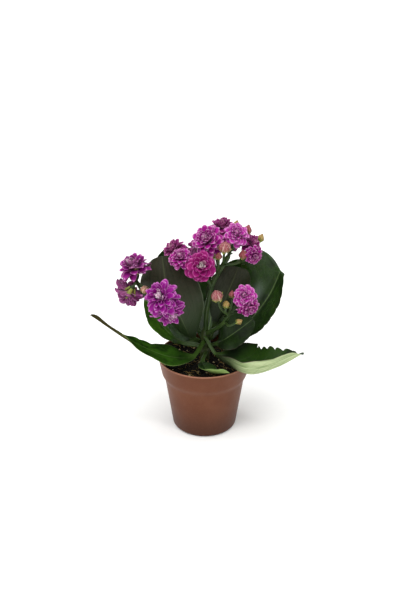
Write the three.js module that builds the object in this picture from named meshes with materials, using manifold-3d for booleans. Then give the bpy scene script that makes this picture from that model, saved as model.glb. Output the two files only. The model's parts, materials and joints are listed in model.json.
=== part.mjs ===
// A double-flowered kalanchoe growing in a small round nursery pot.
// Millimetres, +Z up, front towards -Y. The origin is the centre of the pot's flat base.

import * as THREE from "three";
import { mergeVertices } from "three/addons/utils/BufferGeometryUtils.js";
import Module from "manifold-3d";

// Driving dimensions.
const GAP = 0.3; // clearance between pieces that touch

const POT_HEIGHT = 50;
const RIM_RADIUS = 30;
const COLLAR_HEIGHT = 15;
const COLLAR_FOOT_RADIUS = 27;
const BODY_TOP_RADIUS = 25.8;
const BASE_RADIUS = 20.9;
const BASE_ROUNDING = 2.2;
const POT_WALL = 0.9;
const BASE_THICKNESS = 1.2;
const DRAIN_HOLE_RADIUS = 2.2;
const DRAIN_RING_RADIUS = 12.5;
const DRAIN_HOLES = 6;
const DRAIN_HOLE_SIDES = 12;
const LIP_ROUNDING = 0.4;
const COLLAR_STEP = 0.4; // height over which the collar steps out from the body
const POT_SIDES = 36;

const SOIL_HEIGHT = 44.5; // at the wall
const SOIL_MOUND = 2; // extra height near the stem
const SOIL_EDGE_SLOPE = 0.6; // how far the soil draws in from the wall near its surface

const STEM_BOTTOM = 32;
const STEM_TOP = 69;
const STEM_BOTTOM_RADIUS = 3.1;
const STEM_TOP_RADIUS = 2.3;
const STEM_SIDES = 12;

const PETIOLE_HALF_WIDTH = 1.5;
const PETIOLE_THICKNESS = 2.2;
const BLADE_THICKNESS = 1.3;
const MARGIN_THICKNESS = 0.6;
const TIP_BLUNTNESS = 0.55; // 0 gives a pointed tip
const TIP_TAPER = 0.6; // share of the thickness lost between the stem and the tip
const BLADE_OPEN_SHARE = 0.5; // outline share at which the stalk has become blade
const LEAF_STEPS = 10; // along the midrib
const HALF_BLADE_STEPS = 2; // from the midrib to the margin

const STALK_HALF_SIDES = 3; // facets on half a turn
const PEDICEL_STEPS = 3;
const PEDICEL_BEND_SHARE = 0.4; // straight end of a pedicel, as a share of its reach
const PEDICEL_BEND_LIMIT = 6;
const PEDUNCLE_RADIUS = 1.35;
const BRANCH_RADIUS = 1;
const PEDICEL_RADIUS = 0.7;
const CALYX_RADIUS = 2.1;
const CALYX_HEIGHT = 2.4;
const CALYX_SIDES = 6;

const FLOWER_SIDES = 12;
const FLOWER_HEIGHT = 8.2; // of a flower with the reference radius below
const FLOWER_REFERENCE_RADIUS = 9.5;
const BUD_REFERENCE_RADIUS = 3.2;
const BUD_SIDES = 8;
const MERGE_DISTANCE = 1e-4;

// Turned outlines: [share of the radius, share of the height].
const DOME_FOOT_RADIUS = 1.5;
const DOME_OUTLINE = [[0.62, 0.24], [1, 0.52], [0.9, 0.74], [0.55, 0.94]];
const BUD_OUTLINE = [[0, 0], [0.55, 0], [0.95, 0.25], [1, 0.45], [0.72, 0.75], [0.2, 1], [0, 1]];

const wasm = await Module();
wasm.setup();

const material = (color, roughness) =>
  new THREE.MeshStandardMaterial({ color, roughness, metalness: 0 });
const terracottaPlastic = material(0x8f5844, 0.45);
const peat = material(0x241d18, 0.95);
const stemGreen = material(0x55662f, 0.6);
const leafGreen = material(0x2c4a26, 0.35);
const petalMagenta = material(0xa8389f, 0.6);
const budPink = material(0xcf8f8a, 0.6);

const plant = new THREE.Group();

function addPiece(name, geometry, finish) {
  geometry.computeVertexNormals();
  const mesh = new THREE.Mesh(geometry, finish);
  mesh.name = name;
  plant.add(mesh);
  return mesh;
}

const vector = ([x, y, z]) => new THREE.Vector3(x, y, z);
const radians = THREE.MathUtils.degToRad;

// Closed three.js geometry to a manifold solid, and back.
function toSolid(geometry) {
  const bare = new THREE.BufferGeometry();
  bare.setAttribute("position", geometry.getAttribute("position"));
  if (geometry.index) bare.setIndex(geometry.index);
  const merged = mergeVertices(bare, MERGE_DISTANCE);
  return new wasm.Manifold(
    new wasm.Mesh({
      numProp: 3,
      vertProperties: merged.attributes.position.array,
      triVerts: new Uint32Array(merged.index.array),
    }),
  );
}

function toGeometry(solid) {
  const { vertProperties, triVerts } = solid.getMesh();
  const geometry = new THREE.BufferGeometry();
  geometry.setAttribute("position", new THREE.Float32BufferAttribute(vertProperties, 3));
  geometry.setIndex(new THREE.BufferAttribute(new Uint32Array(triVerts), 1));
  return geometry.toNonIndexed();
}

// Turned piece about +Z from a profile of [radius, height] points, listed upwards on the outside.
function turned(profile, sides) {
  const points = profile.map(([radius, height]) => new THREE.Vector2(radius, height));
  const geometry = new THREE.LatheGeometry(points, sides);
  geometry.rotateX(Math.PI / 2); // the lathe's own axis is +Y
  return geometry;
}

// Turns a piece made about +Z so that it points along a direction, and moves its foot to a point.
function aim(geometry, foot, direction) {
  const up = new THREE.Vector3(0, 0, 1);
  const turn = new THREE.Quaternion().setFromUnitVectors(up, vector(direction).normalize());
  geometry.applyQuaternion(turn);
  geometry.translate(...foot);
  return geometry;
}

// ---- Pot: thin moulded shell with a flared collar and drain holes ----

// Inner radius of the pot at a height, along the straight taper of its wall.
function wallInside(height) {
  const bodyTop = POT_HEIGHT - COLLAR_HEIGHT;
  const along = THREE.MathUtils.clamp(height / bodyTop, 0, 1);
  return THREE.MathUtils.lerp(BASE_RADIUS, BODY_TOP_RADIUS, along) - POT_WALL;
}

function potShell() {
  const bodyTop = POT_HEIGHT - COLLAR_HEIGHT;
  const profile = [
    [0, 0],
    [BASE_RADIUS - BASE_ROUNDING, 0],
    [BASE_RADIUS - BASE_ROUNDING * 0.3, BASE_ROUNDING * 0.3],
    [BASE_RADIUS, BASE_ROUNDING],
    [BODY_TOP_RADIUS, bodyTop],
    [COLLAR_FOOT_RADIUS, bodyTop + COLLAR_STEP],
    [RIM_RADIUS, POT_HEIGHT - LIP_ROUNDING],
    [RIM_RADIUS - LIP_ROUNDING, POT_HEIGHT],
    [RIM_RADIUS - POT_WALL - LIP_ROUNDING, POT_HEIGHT],
    [COLLAR_FOOT_RADIUS - POT_WALL, bodyTop + COLLAR_STEP / 2],
    [BODY_TOP_RADIUS - POT_WALL, bodyTop - POT_WALL],
    [wallInside(BASE_THICKNESS), BASE_THICKNESS],
    [0, BASE_THICKNESS],
  ];
  let shell = toSolid(turned(profile, POT_SIDES));
  for (let i = 0; i < DRAIN_HOLES; i += 1) {
    const angle = ((i + 0.5) * 2 * Math.PI) / DRAIN_HOLES;
    const drill = new THREE.CylinderGeometry(
      DRAIN_HOLE_RADIUS,
      DRAIN_HOLE_RADIUS,
      BASE_THICKNESS * 4,
      DRAIN_HOLE_SIDES,
    );
    drill.rotateX(Math.PI / 2);
    drill.translate(DRAIN_RING_RADIUS * Math.cos(angle), DRAIN_RING_RADIUS * Math.sin(angle), 0);
    shell = shell.subtract(toSolid(drill));
  }
  return toGeometry(shell);
}

// Potting soil: fills the shell, with a socket that the stem stands in.
function pottingSoil() {
  const bodyTop = POT_HEIGHT - COLLAR_HEIGHT;
  const socket = STEM_BOTTOM_RADIUS + GAP;
  const wallGap = (height) => wallInside(height) - GAP;
  return turned(
    [
      [0, BASE_THICKNESS + GAP],
      [wallGap(BASE_THICKNESS) - GAP, BASE_THICKNESS + GAP],
      [wallGap(bodyTop - 1), bodyTop - 1],
      [wallGap(bodyTop - 1) - SOIL_EDGE_SLOPE, SOIL_HEIGHT],
      [BODY_TOP_RADIUS * 0.6, SOIL_HEIGHT + SOIL_MOUND * 0.7],
      [socket, SOIL_HEIGHT + SOIL_MOUND],
      [socket, STEM_BOTTOM - GAP],
      [0, STEM_BOTTOM - GAP],
    ],
    POT_SIDES,
  );
}

function mainStem() {
  return turned(
    [
      [0, STEM_BOTTOM],
      [STEM_BOTTOM_RADIUS, STEM_BOTTOM],
      [STEM_BOTTOM_RADIUS * 0.95, SOIL_HEIGHT],
      [STEM_TOP_RADIUS, STEM_TOP - 1],
      [STEM_TOP_RADIUS * 0.6, STEM_TOP],
      [0, STEM_TOP],
    ],
    STEM_SIDES,
  );
}

// ---- Leaves ----
// spine: points of the midrib from the stem to the tip.
// face: the way the upper side looks, at the stem and at the tip.
// width: half blades, on the side against and along (tangent x face).
// fold: how far each half blade is lifted towards the face, in degrees.
// cup: how much further it has turned at the margin.
// sweep: how far each margin runs ahead of the midrib near the tip.
// petiole: share of the spine that is stalk. widest: above 1 moves the widest place to the tip.
const leaves = {
  leaf_front_left_upright: {
    spine: [[-3.9, -1.2, 61], [-8, -9.5, 67.5], [-14.5, -18, 86], [-22.5, -17, 105], [-25.5, -11, 122.5]],
    face: [[0.1, 0.8, 0.6], [-0.1, 0.9, 0.35]],
    width: [17.5, 19],
    fold: [6, 6],
    cup: 30,
    sweep: [0, 0],
    petiole: 0.1,
    widest: [1.4, 1.4],
  },
  leaf_back_left: {
    spine: [[-1.8, 4.2, 61.5], [-8.5, 15.5, 71], [-16.8, 24.5, 91.5], [-20.3, 27, 114.5]],
    face: [[0.2, -0.9, 0.4], [0.15, -0.95, 0.3]],
    width: [16.5, 19],
    fold: [8, 8],
    cup: 10,
    sweep: [0, 0],
    petiole: 0.14,
    widest: [1.6, 1.6],
  },
  leaf_left_outer: {
    spine: [[-4.3, 0.9, 56], [-14, 4, 56], [-25, 6.5, 64], [-33.5, 9, 76], [-36.5, 11, 93]],
    face: [[0.2, -0.5, 0.8], [0.55, -0.7, 0.45]],
    width: [14, 13],
    fold: [36, 34],
    cup: 8,
    sweep: [0, 0],
    petiole: 0.2,
    widest: [1, 1],
  },
  leaf_right_tall: {
    spine: [[4.3, 0.9, 56], [13, 4, 57], [28, 6, 70], [41, 9, 87], [48, 12, 103]],
    face: [[-0.2, -0.6, 0.8], [-0.5, -0.7, 0.5]],
    width: [25, 17.5],
    fold: [30, 32],
    cup: 6,
    sweep: [20, 0],
    petiole: 0.14,
    widest: [2.3, 1.05],
  },
  leaf_centre_right: {
    spine: [[3.9, -0.9, 63.5], [7.5, -1.5, 76], [14.5, -0.5, 95], [20.5, -2, 111.5]],
    face: [[-0.2, 0.85, 0.4], [-0.1, 0.95, 0.3]],
    width: [15, 11.5],
    fold: [8, 8],
    cup: 22,
    sweep: [0, 0],
    petiole: 0.16,
    widest: [1.4, 1.4],
  },
  leaf_right_middle: {
    spine: [[3.9, -2.1, 57.5], [11, -6.8, 63], [21, -9.4, 72], [30, -8.6, 79.5]],
    face: [[-0.2, -0.5, 0.85], [-0.4, -0.75, 0.55]],
    width: [12, 11],
    fold: [18, 18],
    cup: 8,
    sweep: [0, 0],
    petiole: 0.16,
    widest: [1.05, 1.05],
  },
  leaf_front_right_low: {
    spine: [[1.7, -4.3, 62.5], [6.5, -11.5, 57], [16, -19.5, 52.8], [28, -26.5, 51.4], [44, -30.5, 58.5],
      [59.5, -31, 68]],
    face: [[0.3, -0.1, 1], [-0.1, 0, 1]],
    width: [20.5, 15],
    fold: [26, 50],
    cup: 6,
    sweep: [0, 0],
    petiole: 0.15,
    widest: [0.64, 0.9],
  },
  leaf_front_left_low: {
    spine: [[-1.2, -4.3, 60], [-8, -13, 55], [-22, -16.5, 57], [-41, -16.5, 65.5], [-70, -13, 84.5]],
    face: [[-0.1, -0.25, 1], [0.52, 0.44, 0.72]],
    width: [15, 8.5],
    fold: [1, -12],
    cup: 4,
    sweep: [0, 0],
    petiole: 0.12,
    widest: [1.05, 0.8],
  },
  leaf_front_small: {
    spine: [[0.4, -4.5, 52.5], [-1.5, -13, 51], [4, -22.5, 50], [15, -26, 51.3]],
    face: [[-0.1, 0.3, 1], [-0.3, 0.75, 0.6]],
    width: [5, 5],
    fold: [10, 10],
    cup: 10,
    sweep: [0, 0],
    petiole: 0.25,
    widest: [1, 1],
  },
  leaf_left_young: {
    spine: [[-4.4, 0.4, 59.5], [-11, -2.2, 63], [-18, -5.6, 69], [-23, -8.6, 76]],
    face: [[0.3, -0.5, 0.8], [0.5, -0.5, 0.6]],
    width: [5, 5],
    fold: [18, 18],
    cup: 8,
    sweep: [0, 0],
    petiole: 0.2,
    widest: [1.1, 1.1],
  },
  leaf_right_low_back: {
    spine: [[3.6, 3, 54.2], [14, 10, 53.4], [30.5, 21, 59.5], [46, 30, 71]],
    face: [[-0.1, -0.1, 1], [-0.35, -0.35, 0.9]],
    width: [15, 15],
    fold: [20, 20],
    cup: 8,
    sweep: [0, 0],
    petiole: 0.2,
    widest: [1, 1],
  },
  leaf_left_low_back: {
    spine: [[-3.2, 3.5, 54.8], [-13.5, 13.5, 53.5], [-24.5, 28.5, 57.5], [-32, 43, 66]],
    face: [[0.1, -0.1, 1], [0.2, -0.35, 0.9]],
    width: [13, 13],
    fold: [18, 18],
    cup: 8,
    sweep: [0, 0],
    petiole: 0.2,
    widest: [0.95, 0.95],
  },
  leaf_back_upright: {
    spine: [[2.3, 4, 60], [10, 14, 67], [19, 22, 84], [25, 25, 105]],
    face: [[-0.1, -0.8, 0.6], [-0.1, -0.95, 0.3]],
    width: [17, 17],
    fold: [12, 12],
    cup: 10,
    sweep: [0, 0],
    petiole: 0.16,
    widest: [1.1, 1.1],
  },
  leaf_back_low: {
    spine: [[0.6, 4.6, 50.8], [1.5, 15, 50.9], [4, 33, 56.5], [7, 51, 65]],
    face: [[0, -0.1, 1], [-0.1, -0.35, 0.9]],
    width: [13.5, 13.5],
    fold: [16, 16],
    cup: 8,
    sweep: [0, 0],
    petiole: 0.22,
    widest: [1, 1],
  },
};

// Half width of the blade as a share of its greatest half width, from petiole end (0) to tip (1).
function bladeOutline(along, widest) {
  const wave = Math.sin(Math.PI * Math.pow(along, widest));
  return Math.pow(Math.max(wave, 0), 1 - TIP_BLUNTNESS * along);
}

function leafBlade(leaf) {
  const curve = new THREE.CatmullRomCurve3(leaf.spine.map(vector), false, "centripetal");
  const [faceStem, faceTip] = leaf.face.map(vector);
  const rings = [];
  for (let i = 0; i <= LEAF_STEPS; i += 1) {
    const t = Math.sin((Math.PI / 2) * (i / LEAF_STEPS));
    const centre = curve.getPointAt(t);
    const tangent = curve.getTangentAt(t);
    const face = faceStem.clone().lerp(faceTip, t);
    const side = new THREE.Vector3().crossVectors(tangent, face).normalize();
    const normal = new THREE.Vector3().crossVectors(side, tangent);
    const along = THREE.MathUtils.clamp((t - leaf.petiole) / (1 - leaf.petiole), 0, 1);
    const blades = leaf.widest.map((widest) => bladeOutline(along, widest));
    const openness = THREE.MathUtils.smoothstep((blades[0] + blades[1]) / 2, 0, BLADE_OPEN_SHARE);
    const middle = THREE.MathUtils.lerp(PETIOLE_THICKNESS, BLADE_THICKNESS, openness);
    const taper = 1 - TIP_TAPER * along * along;
    const upper = [];
    const lower = [];
    for (let j = -HALF_BLADE_STEPS; j <= HALF_BLADE_STEPS; j += 1) {
      const share = Math.abs(j) / HALF_BLADE_STEPS;
      const half = j < 0 ? 0 : 1;
      const reach = (PETIOLE_HALF_WIDTH * taper + leaf.width[half] * blades[half]) * share;
      const lift = radians(leaf.fold[half] + (leaf.cup * share) / 2) * openness;
      const thickness = THREE.MathUtils.lerp(middle, MARGIN_THICKNESS, share) * taper;
      const point = centre.clone();
      point.addScaledVector(side, Math.sign(j) * reach * Math.cos(lift));
      point.addScaledVector(normal, reach * Math.sin(lift));
      point.addScaledVector(tangent, leaf.sweep[half] * share * blades[half] * along * along);
      upper.push(point.clone().addScaledVector(normal, thickness / 2));
      lower.unshift(point.clone().addScaledVector(normal, -thickness / 2));
    }
    rings.push([...upper, ...lower]);
  }
  return loft(rings);
}

// Closed skin over rings of equal length, each end closed by a fan from its middle.
function loft(rings) {
  const corners = [];
  const size = rings[0].length;
  const triangle = (a, b, c) => corners.push(...a.toArray(), ...b.toArray(), ...c.toArray());
  for (let i = 0; i + 1 < rings.length; i += 1) {
    for (let j = 0; j < size; j += 1) {
      const next = (j + 1) % size;
      triangle(rings[i][j], rings[i][next], rings[i + 1][next]);
      triangle(rings[i][j], rings[i + 1][next], rings[i + 1][j]);
    }
  }
  const first = rings[0];
  const last = rings[rings.length - 1];
  const middleOf = (ring) =>
    ring.reduce((sum, point) => sum.add(point), new THREE.Vector3()).divideScalar(size);
  const foot = middleOf(first);
  const tip = middleOf(last);
  for (let j = 0; j < size; j += 1) {
    const next = (j + 1) % size;
    triangle(foot, first[next], first[j]);
    triangle(tip, last[j], last[next]);
  }
  const geometry = new THREE.BufferGeometry();
  geometry.setAttribute("position", new THREE.Float32BufferAttribute(corners, 3));
  return geometry;
}

// ---- Flowers: each corolla is one dome of packed petals, standing on its calyx ----
// limb: the part of a flower stalk that carries it. fork: where its pedicel leaves that limb, from
// its foot (0) to its end (1). at: middle of the dome. face: the way the flower looks.
// radius: of the open corolla. behind: a neighbour that it is pressed against.
const flowers = {
  flower_top_back: {
    limb: "backTwig",
    fork: 1,
    at: [10.8, 17, 133.2],
    face: [-0.1, 0.1, 1],
    radius: 7.2,
  },
  flower_top_left: {
    limb: "centre",
    fork: 0.8,
    at: [1.2, -8, 132.4],
    face: [-0.35, -0.65, 0.7],
    radius: 9.8,
  },
  flower_top_right: {
    limb: "centre",
    fork: 1,
    at: [18.8, -5, 134.8],
    face: [0.1, -0.65, 0.75],
    radius: 8.2,
  },
  flower_centre: {
    limb: "leftTwig",
    fork: 0.5,
    at: [-2.1, -24, 121.8],
    face: [0.05, -0.85, 0.55],
    radius: 9.6,
  },
  flower_left_back: {
    limb: "leftTwig",
    fork: 1,
    at: [-19.1, -3, 124.2],
    face: [-0.5, -0.3, 0.8],
    radius: 7,
  },
  flower_left_front: {
    limb: "leftTwig",
    fork: 1,
    at: [-14.4, -17.5, 124.6],
    face: [-0.15, -0.5, 0.85],
    radius: 7.2,
    behind: "flower_centre",
  },
  flower_right_upper: {
    limb: "rightTwig",
    fork: 1,
    at: [28.7, -1.8, 127.4],
    face: [0.6, -0.5, 0.6],
    radius: 6.2,
  },
  flower_right_lower: {
    limb: "rightTwig",
    fork: 0.8,
    at: [30, -8, 121.6],
    face: [0.5, -0.85, -0.1],
    radius: 6,
    behind: "flower_right_upper",
  },
  flower_front_left_upper: {
    limb: "left",
    fork: 1,
    at: [-25.6, -43, 110.7],
    face: [-0.3, -0.7, 0.65],
    radius: 10,
  },
  flower_front_left_lower: {
    limb: "left",
    fork: 0.96,
    at: [-20, -42, 100.5],
    face: [0.45, -0.8, -0.35],
    radius: 9.4,
    behind: "flower_front_left_upper",
  },
  flower_far_left_upper: {
    limb: "left",
    fork: 1,
    at: [-41.6, -22, 120.6],
    face: [-0.35, -0.15, 0.9],
    radius: 9.2,
  },
  flower_far_left_lower: {
    limb: "left",
    fork: 0.93,
    at: [-45, -26, 105],
    face: [-0.35, 0.1, -0.9],
    radius: 9,
  },
  flower_right_front_upper: {
    limb: "right",
    fork: 1,
    at: [23.4, -22, 102],
    face: [-0.1, -0.7, 0.7],
    radius: 7.4,
  },
  flower_right_front_lower: {
    limb: "right",
    fork: 0.96,
    at: [26.2, -24, 95],
    face: [0.35, -0.9, -0.25],
    radius: 7.2,
    behind: "flower_right_front_upper",
  },
  flower_back_left: {
    limb: "centre",
    fork: 0.78,
    at: [-4, 12, 120],
    face: [-0.5, 0.75, 0.45],
    radius: 8.4,
  },
  flower_back_right: {
    limb: "backTwig",
    fork: 0.6,
    at: [17, 20, 122],
    face: [0.2, 0.9, 0.4],
    radius: 8.4,
  },
};

// at: middle of the bud. face: the way its point looks. radius and length of the closed petals.
const buds = {
  bud_top: {
    limb: "backTwig",
    fork: 1,
    at: [19.3, 8.5, 135],
    face: [0.15, 0.1, 1],
    radius: 2.6,
    length: 5.8,
  },
  bud_top_right: {
    limb: "backTwig",
    fork: 0.8,
    at: [26.2, 9, 132],
    face: [0.3, 0.1, 1],
    radius: 2.7,
    length: 6,
  },
  bud_far_right: {
    limb: "rightTwig",
    fork: 1,
    at: [34.4, 6.5, 127.6],
    face: [0.5, 0.2, 0.9],
    radius: 2.2,
    length: 5,
  },
  bud_middle_open: {
    limb: "centre",
    fork: 0.88,
    at: [11.7, -13.5, 129.8],
    face: [0.05, -0.35, 0.95],
    radius: 3.7,
    length: 7.4,
  },
  bud_middle_pale: {
    limb: "centre",
    fork: 0.78,
    at: [4.6, -8.4, 123.4],
    face: [-0.15, -0.3, 1],
    radius: 2.6,
    length: 6,
  },
  bud_middle_small: {
    limb: "centre",
    fork: 0.74,
    at: [8.2, -13.5, 123.9],
    face: [0, -0.3, 1],
    radius: 2,
    length: 4.8,
  },
  bud_right_red: {
    limb: "rightTwig",
    fork: 0.9,
    at: [22.9, -8.2, 122.8],
    face: [-0.1, -0.3, 1],
    radius: 2.7,
    length: 6,
  },
  bud_left_cream: {
    limb: "left",
    fork: 1,
    at: [-35.1, -30.5, 110],
    face: [0.1, -0.5, 0.8],
    radius: 2.3,
    length: 5.6,
  },
  bud_front_pink: {
    limb: "right",
    fork: 0.93,
    at: [6.9, -26, 104],
    face: [-0.25, -0.3, 1],
    radius: 3.5,
    length: 7.4,
  },
  bud_front_green: {
    limb: "right",
    fork: 0.97,
    at: [12.7, -25, 97.8],
    face: [0.05, -0.3, 1],
    radius: 2.1,
    length: 4.8,
  },
  bud_front_back: {
    limb: "right",
    fork: 1,
    at: [16.2, -19, 101.6],
    face: [0, -0.1, 1],
    radius: 1.9,
    length: 4.6,
  },
  bud_spent: {
    limb: "right",
    fork: 0.72,
    at: [20.7, -26, 86.6],
    face: [0.7, -0.3, 0.5],
    radius: 1.8,
    length: 4,
  },
};

// Dome of a flower about +Z with its foot at the origin; grow swells it on every side.
function flowerDome(radius, grow = 0) {
  const size = radius / FLOWER_REFERENCE_RADIUS;
  const height = FLOWER_HEIGHT * size;
  const swell = [-grow, 0, grow, grow];
  const outline = DOME_OUTLINE.map(([out, up], i) => [out * (radius + grow), up * height + swell[i]]);
  const foot = DOME_FOOT_RADIUS * size + grow;
  return turned([[0, -grow], [foot, -grow], ...outline, [0, height + grow]], FLOWER_SIDES);
}

// Where a flower's foot stands: its dome's middle, back along the way it looks.
function flowerFoot(flower) {
  const face = vector(flower.face).normalize();
  const back = (FLOWER_HEIGHT * flower.radius) / FLOWER_REFERENCE_RADIUS / 2;
  return vector(flower.at).addScaledVector(face, -back);
}

function budFoot(bud) {
  const face = vector(bud.face).normalize();
  return vector(bud.at).addScaledVector(face, -bud.length / 2);
}

function closedBud({ radius, length }) {
  return turned(BUD_OUTLINE.map(([out, up]) => [out * radius, up * length]), BUD_SIDES);
}

// ---- Flower stalks: peduncle, branches, pedicels and calyces grown as one piece ----
// points: the way a limb runs. stalk: the piece that it is part of.
const limbs = {
  centre: {
    stalk: "flower_stalk_centre",
    radius: PEDUNCLE_RADIUS,
    points: [[0.5, -0.8, STEM_TOP + GAP], [1.4, -4.4, 84], [4.4, -6, 101], [9, -6, 111], [14.5, -4, 120]],
  },
  leftTwig: {
    stalk: "flower_stalk_centre",
    radius: BRANCH_RADIUS,
    points: [[4.2, -6, 100.5], [1, -7.5, 106], [-5, -9.5, 113]],
  },
  rightTwig: {
    stalk: "flower_stalk_centre",
    radius: BRANCH_RADIUS,
    points: [[11.3, -5.3, 114.5], [17, -4.8, 114.8], [22, -4.6, 116.5]],
  },
  backTwig: {
    stalk: "flower_stalk_centre",
    radius: BRANCH_RADIUS,
    points: [[11.3, -5.3, 114.5], [14, 1, 117.5], [17, 7.5, 121]],
  },
  left: {
    stalk: "flower_stalk_left",
    radius: PEDUNCLE_RADIUS,
    points: [[-3.7, 1.4, 66.5], [-12, 3.5, 79], [-26, 1, 91.5], [-40, -5.5, 101.5], [-40.5, -22.5, 111]],
  },
  right: {
    stalk: "flower_stalk_right",
    radius: PEDUNCLE_RADIUS,
    points: [[2.7, -3.1, 67.4], [7, -8, 72.5], [11.5, -14, 79.5], [14.5, -19, 88]],
  },
};

const limbCurve = ({ points }) =>
  new THREE.CatmullRomCurve3(points.map(vector), false, "centripetal");

function tube(curve, radius, steps) {
  const section = new THREE.Shape();
  section.absarc(0, 0, radius, 0, 2 * Math.PI, false);
  return toSolid(
    new THREE.ExtrudeGeometry(section, {
      curveSegments: STALK_HALF_SIDES,
      steps,
      extrudePath: curve,
      bevelEnabled: false,
    }),
  );
}

// Pedicel from its fork, bending to come up under the foot of a flower or bud, with its calyx.
function pedicel({ limb, fork, face }, foot, size) {
  const start = limbCurve(limbs[limb]).getPointAt(fork);
  const look = vector(face).normalize();
  const end = foot.clone().addScaledVector(look, -GAP);
  const reach = start.distanceTo(end);
  const bend = Math.min(PEDICEL_BEND_SHARE * reach, PEDICEL_BEND_LIMIT);
  const under = end.clone().addScaledVector(look, -bend);
  const path = new THREE.CatmullRomCurve3([start, under, end], false, "centripetal");
  const cup = turned(
    [
      [0, -CALYX_HEIGHT * size],
      [PEDICEL_RADIUS, -CALYX_HEIGHT * size],
      [CALYX_RADIUS * size, -CALYX_HEIGHT * size * 0.3],
      [CALYX_RADIUS * size, 0],
      [0, 0],
    ],
    CALYX_SIDES,
  );
  return tube(path, PEDICEL_RADIUS, PEDICEL_STEPS).add(toSolid(aim(cup, end.toArray(), face)));
}

function flowerStalk(name) {
  const parts = [];
  for (const limb of Object.values(limbs)) {
    if (limb.stalk === name) parts.push(tube(limbCurve(limb), limb.radius, 2 * limb.points.length));
  }
  for (const flower of Object.values(flowers)) {
    if (limbs[flower.limb].stalk !== name) continue;
    parts.push(pedicel(flower, flowerFoot(flower), flower.radius / FLOWER_REFERENCE_RADIUS));
  }
  for (const bud of Object.values(buds)) {
    if (limbs[bud.limb].stalk !== name) continue;
    parts.push(pedicel(bud, budFoot(bud), bud.radius / BUD_REFERENCE_RADIUS));
  }
  return toGeometry(parts.reduce((stalk, part) => stalk.add(part)));
}

// A corolla, cut back where it is pressed against its neighbour.
function corolla(flower) {
  const place = (spec, grow) =>
    aim(flowerDome(spec.radius, grow), flowerFoot(spec).toArray(), spec.face);
  if (!flower.behind) return place(flower, 0);
  const neighbour = toSolid(place(flowers[flower.behind], GAP));
  return toGeometry(toSolid(place(flower, 0)).subtract(neighbour));
}

// ---- Assembly ----
addPiece("pot", potShell(), terracottaPlastic);
addPiece("potting_soil", pottingSoil(), peat);
addPiece("main_stem", mainStem(), stemGreen);
for (const [name, leaf] of Object.entries(leaves)) addPiece(name, leafBlade(leaf), leafGreen);
for (const name of new Set(Object.values(limbs).map((limb) => limb.stalk))) {
  addPiece(name, flowerStalk(name), stemGreen);
}
for (const [name, flower] of Object.entries(flowers)) addPiece(name, corolla(flower), petalMagenta);
for (const [name, bud] of Object.entries(buds)) {
  addPiece(name, aim(closedBud(bud), budFoot(bud).toArray(), bud.face), budPink);
}

export default plant;
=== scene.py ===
import json
import math
import random

import bmesh
import bpy
import numpy as np
from mathutils import Matrix, Vector

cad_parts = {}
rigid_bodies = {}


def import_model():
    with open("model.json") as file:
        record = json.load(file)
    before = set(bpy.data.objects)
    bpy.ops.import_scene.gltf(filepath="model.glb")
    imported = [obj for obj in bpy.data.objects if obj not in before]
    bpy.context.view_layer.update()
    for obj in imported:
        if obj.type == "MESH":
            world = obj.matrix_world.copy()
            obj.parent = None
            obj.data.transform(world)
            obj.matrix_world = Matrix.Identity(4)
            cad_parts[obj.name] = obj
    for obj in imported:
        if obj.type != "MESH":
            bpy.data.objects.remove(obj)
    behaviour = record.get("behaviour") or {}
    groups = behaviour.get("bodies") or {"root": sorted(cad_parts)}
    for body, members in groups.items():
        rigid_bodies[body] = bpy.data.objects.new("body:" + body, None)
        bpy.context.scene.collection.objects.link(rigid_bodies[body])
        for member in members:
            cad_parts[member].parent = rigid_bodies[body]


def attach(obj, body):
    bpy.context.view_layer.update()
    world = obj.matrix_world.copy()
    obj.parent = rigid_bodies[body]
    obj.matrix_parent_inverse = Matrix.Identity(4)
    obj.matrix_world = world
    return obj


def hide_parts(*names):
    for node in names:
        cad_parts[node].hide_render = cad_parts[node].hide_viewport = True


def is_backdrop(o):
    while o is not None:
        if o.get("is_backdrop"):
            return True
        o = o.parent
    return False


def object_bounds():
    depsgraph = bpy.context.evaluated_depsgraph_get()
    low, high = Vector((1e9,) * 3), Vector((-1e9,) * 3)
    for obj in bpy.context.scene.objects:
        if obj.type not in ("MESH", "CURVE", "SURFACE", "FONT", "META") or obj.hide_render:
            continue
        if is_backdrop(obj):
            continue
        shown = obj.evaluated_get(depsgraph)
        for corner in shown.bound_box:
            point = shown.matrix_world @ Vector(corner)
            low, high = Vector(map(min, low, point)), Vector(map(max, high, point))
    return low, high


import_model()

# A double-flowered kalanchoe in its nursery pot. Metres, +Z up, front towards -Y.
# Tables of places and sizes are in millimetres, as in the CAD source, and are scaled by mm.
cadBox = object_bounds()
scene = bpy.context.scene
mm = 0.001
goldenAngle = math.radians(137.508)


# helpers: colours, nodes and meshes

def paint(red, green, blue):
    # screen colour, 0 to 255 a channel, as a linear colour with alpha
    linear = []
    for value in (red, green, blue):
        share = value / 255
        linear.append(share / 12.92 if share <= 0.04045 else ((share + 0.055) / 1.055) ** 2.4)
    return (*linear, 1.0)


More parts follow.
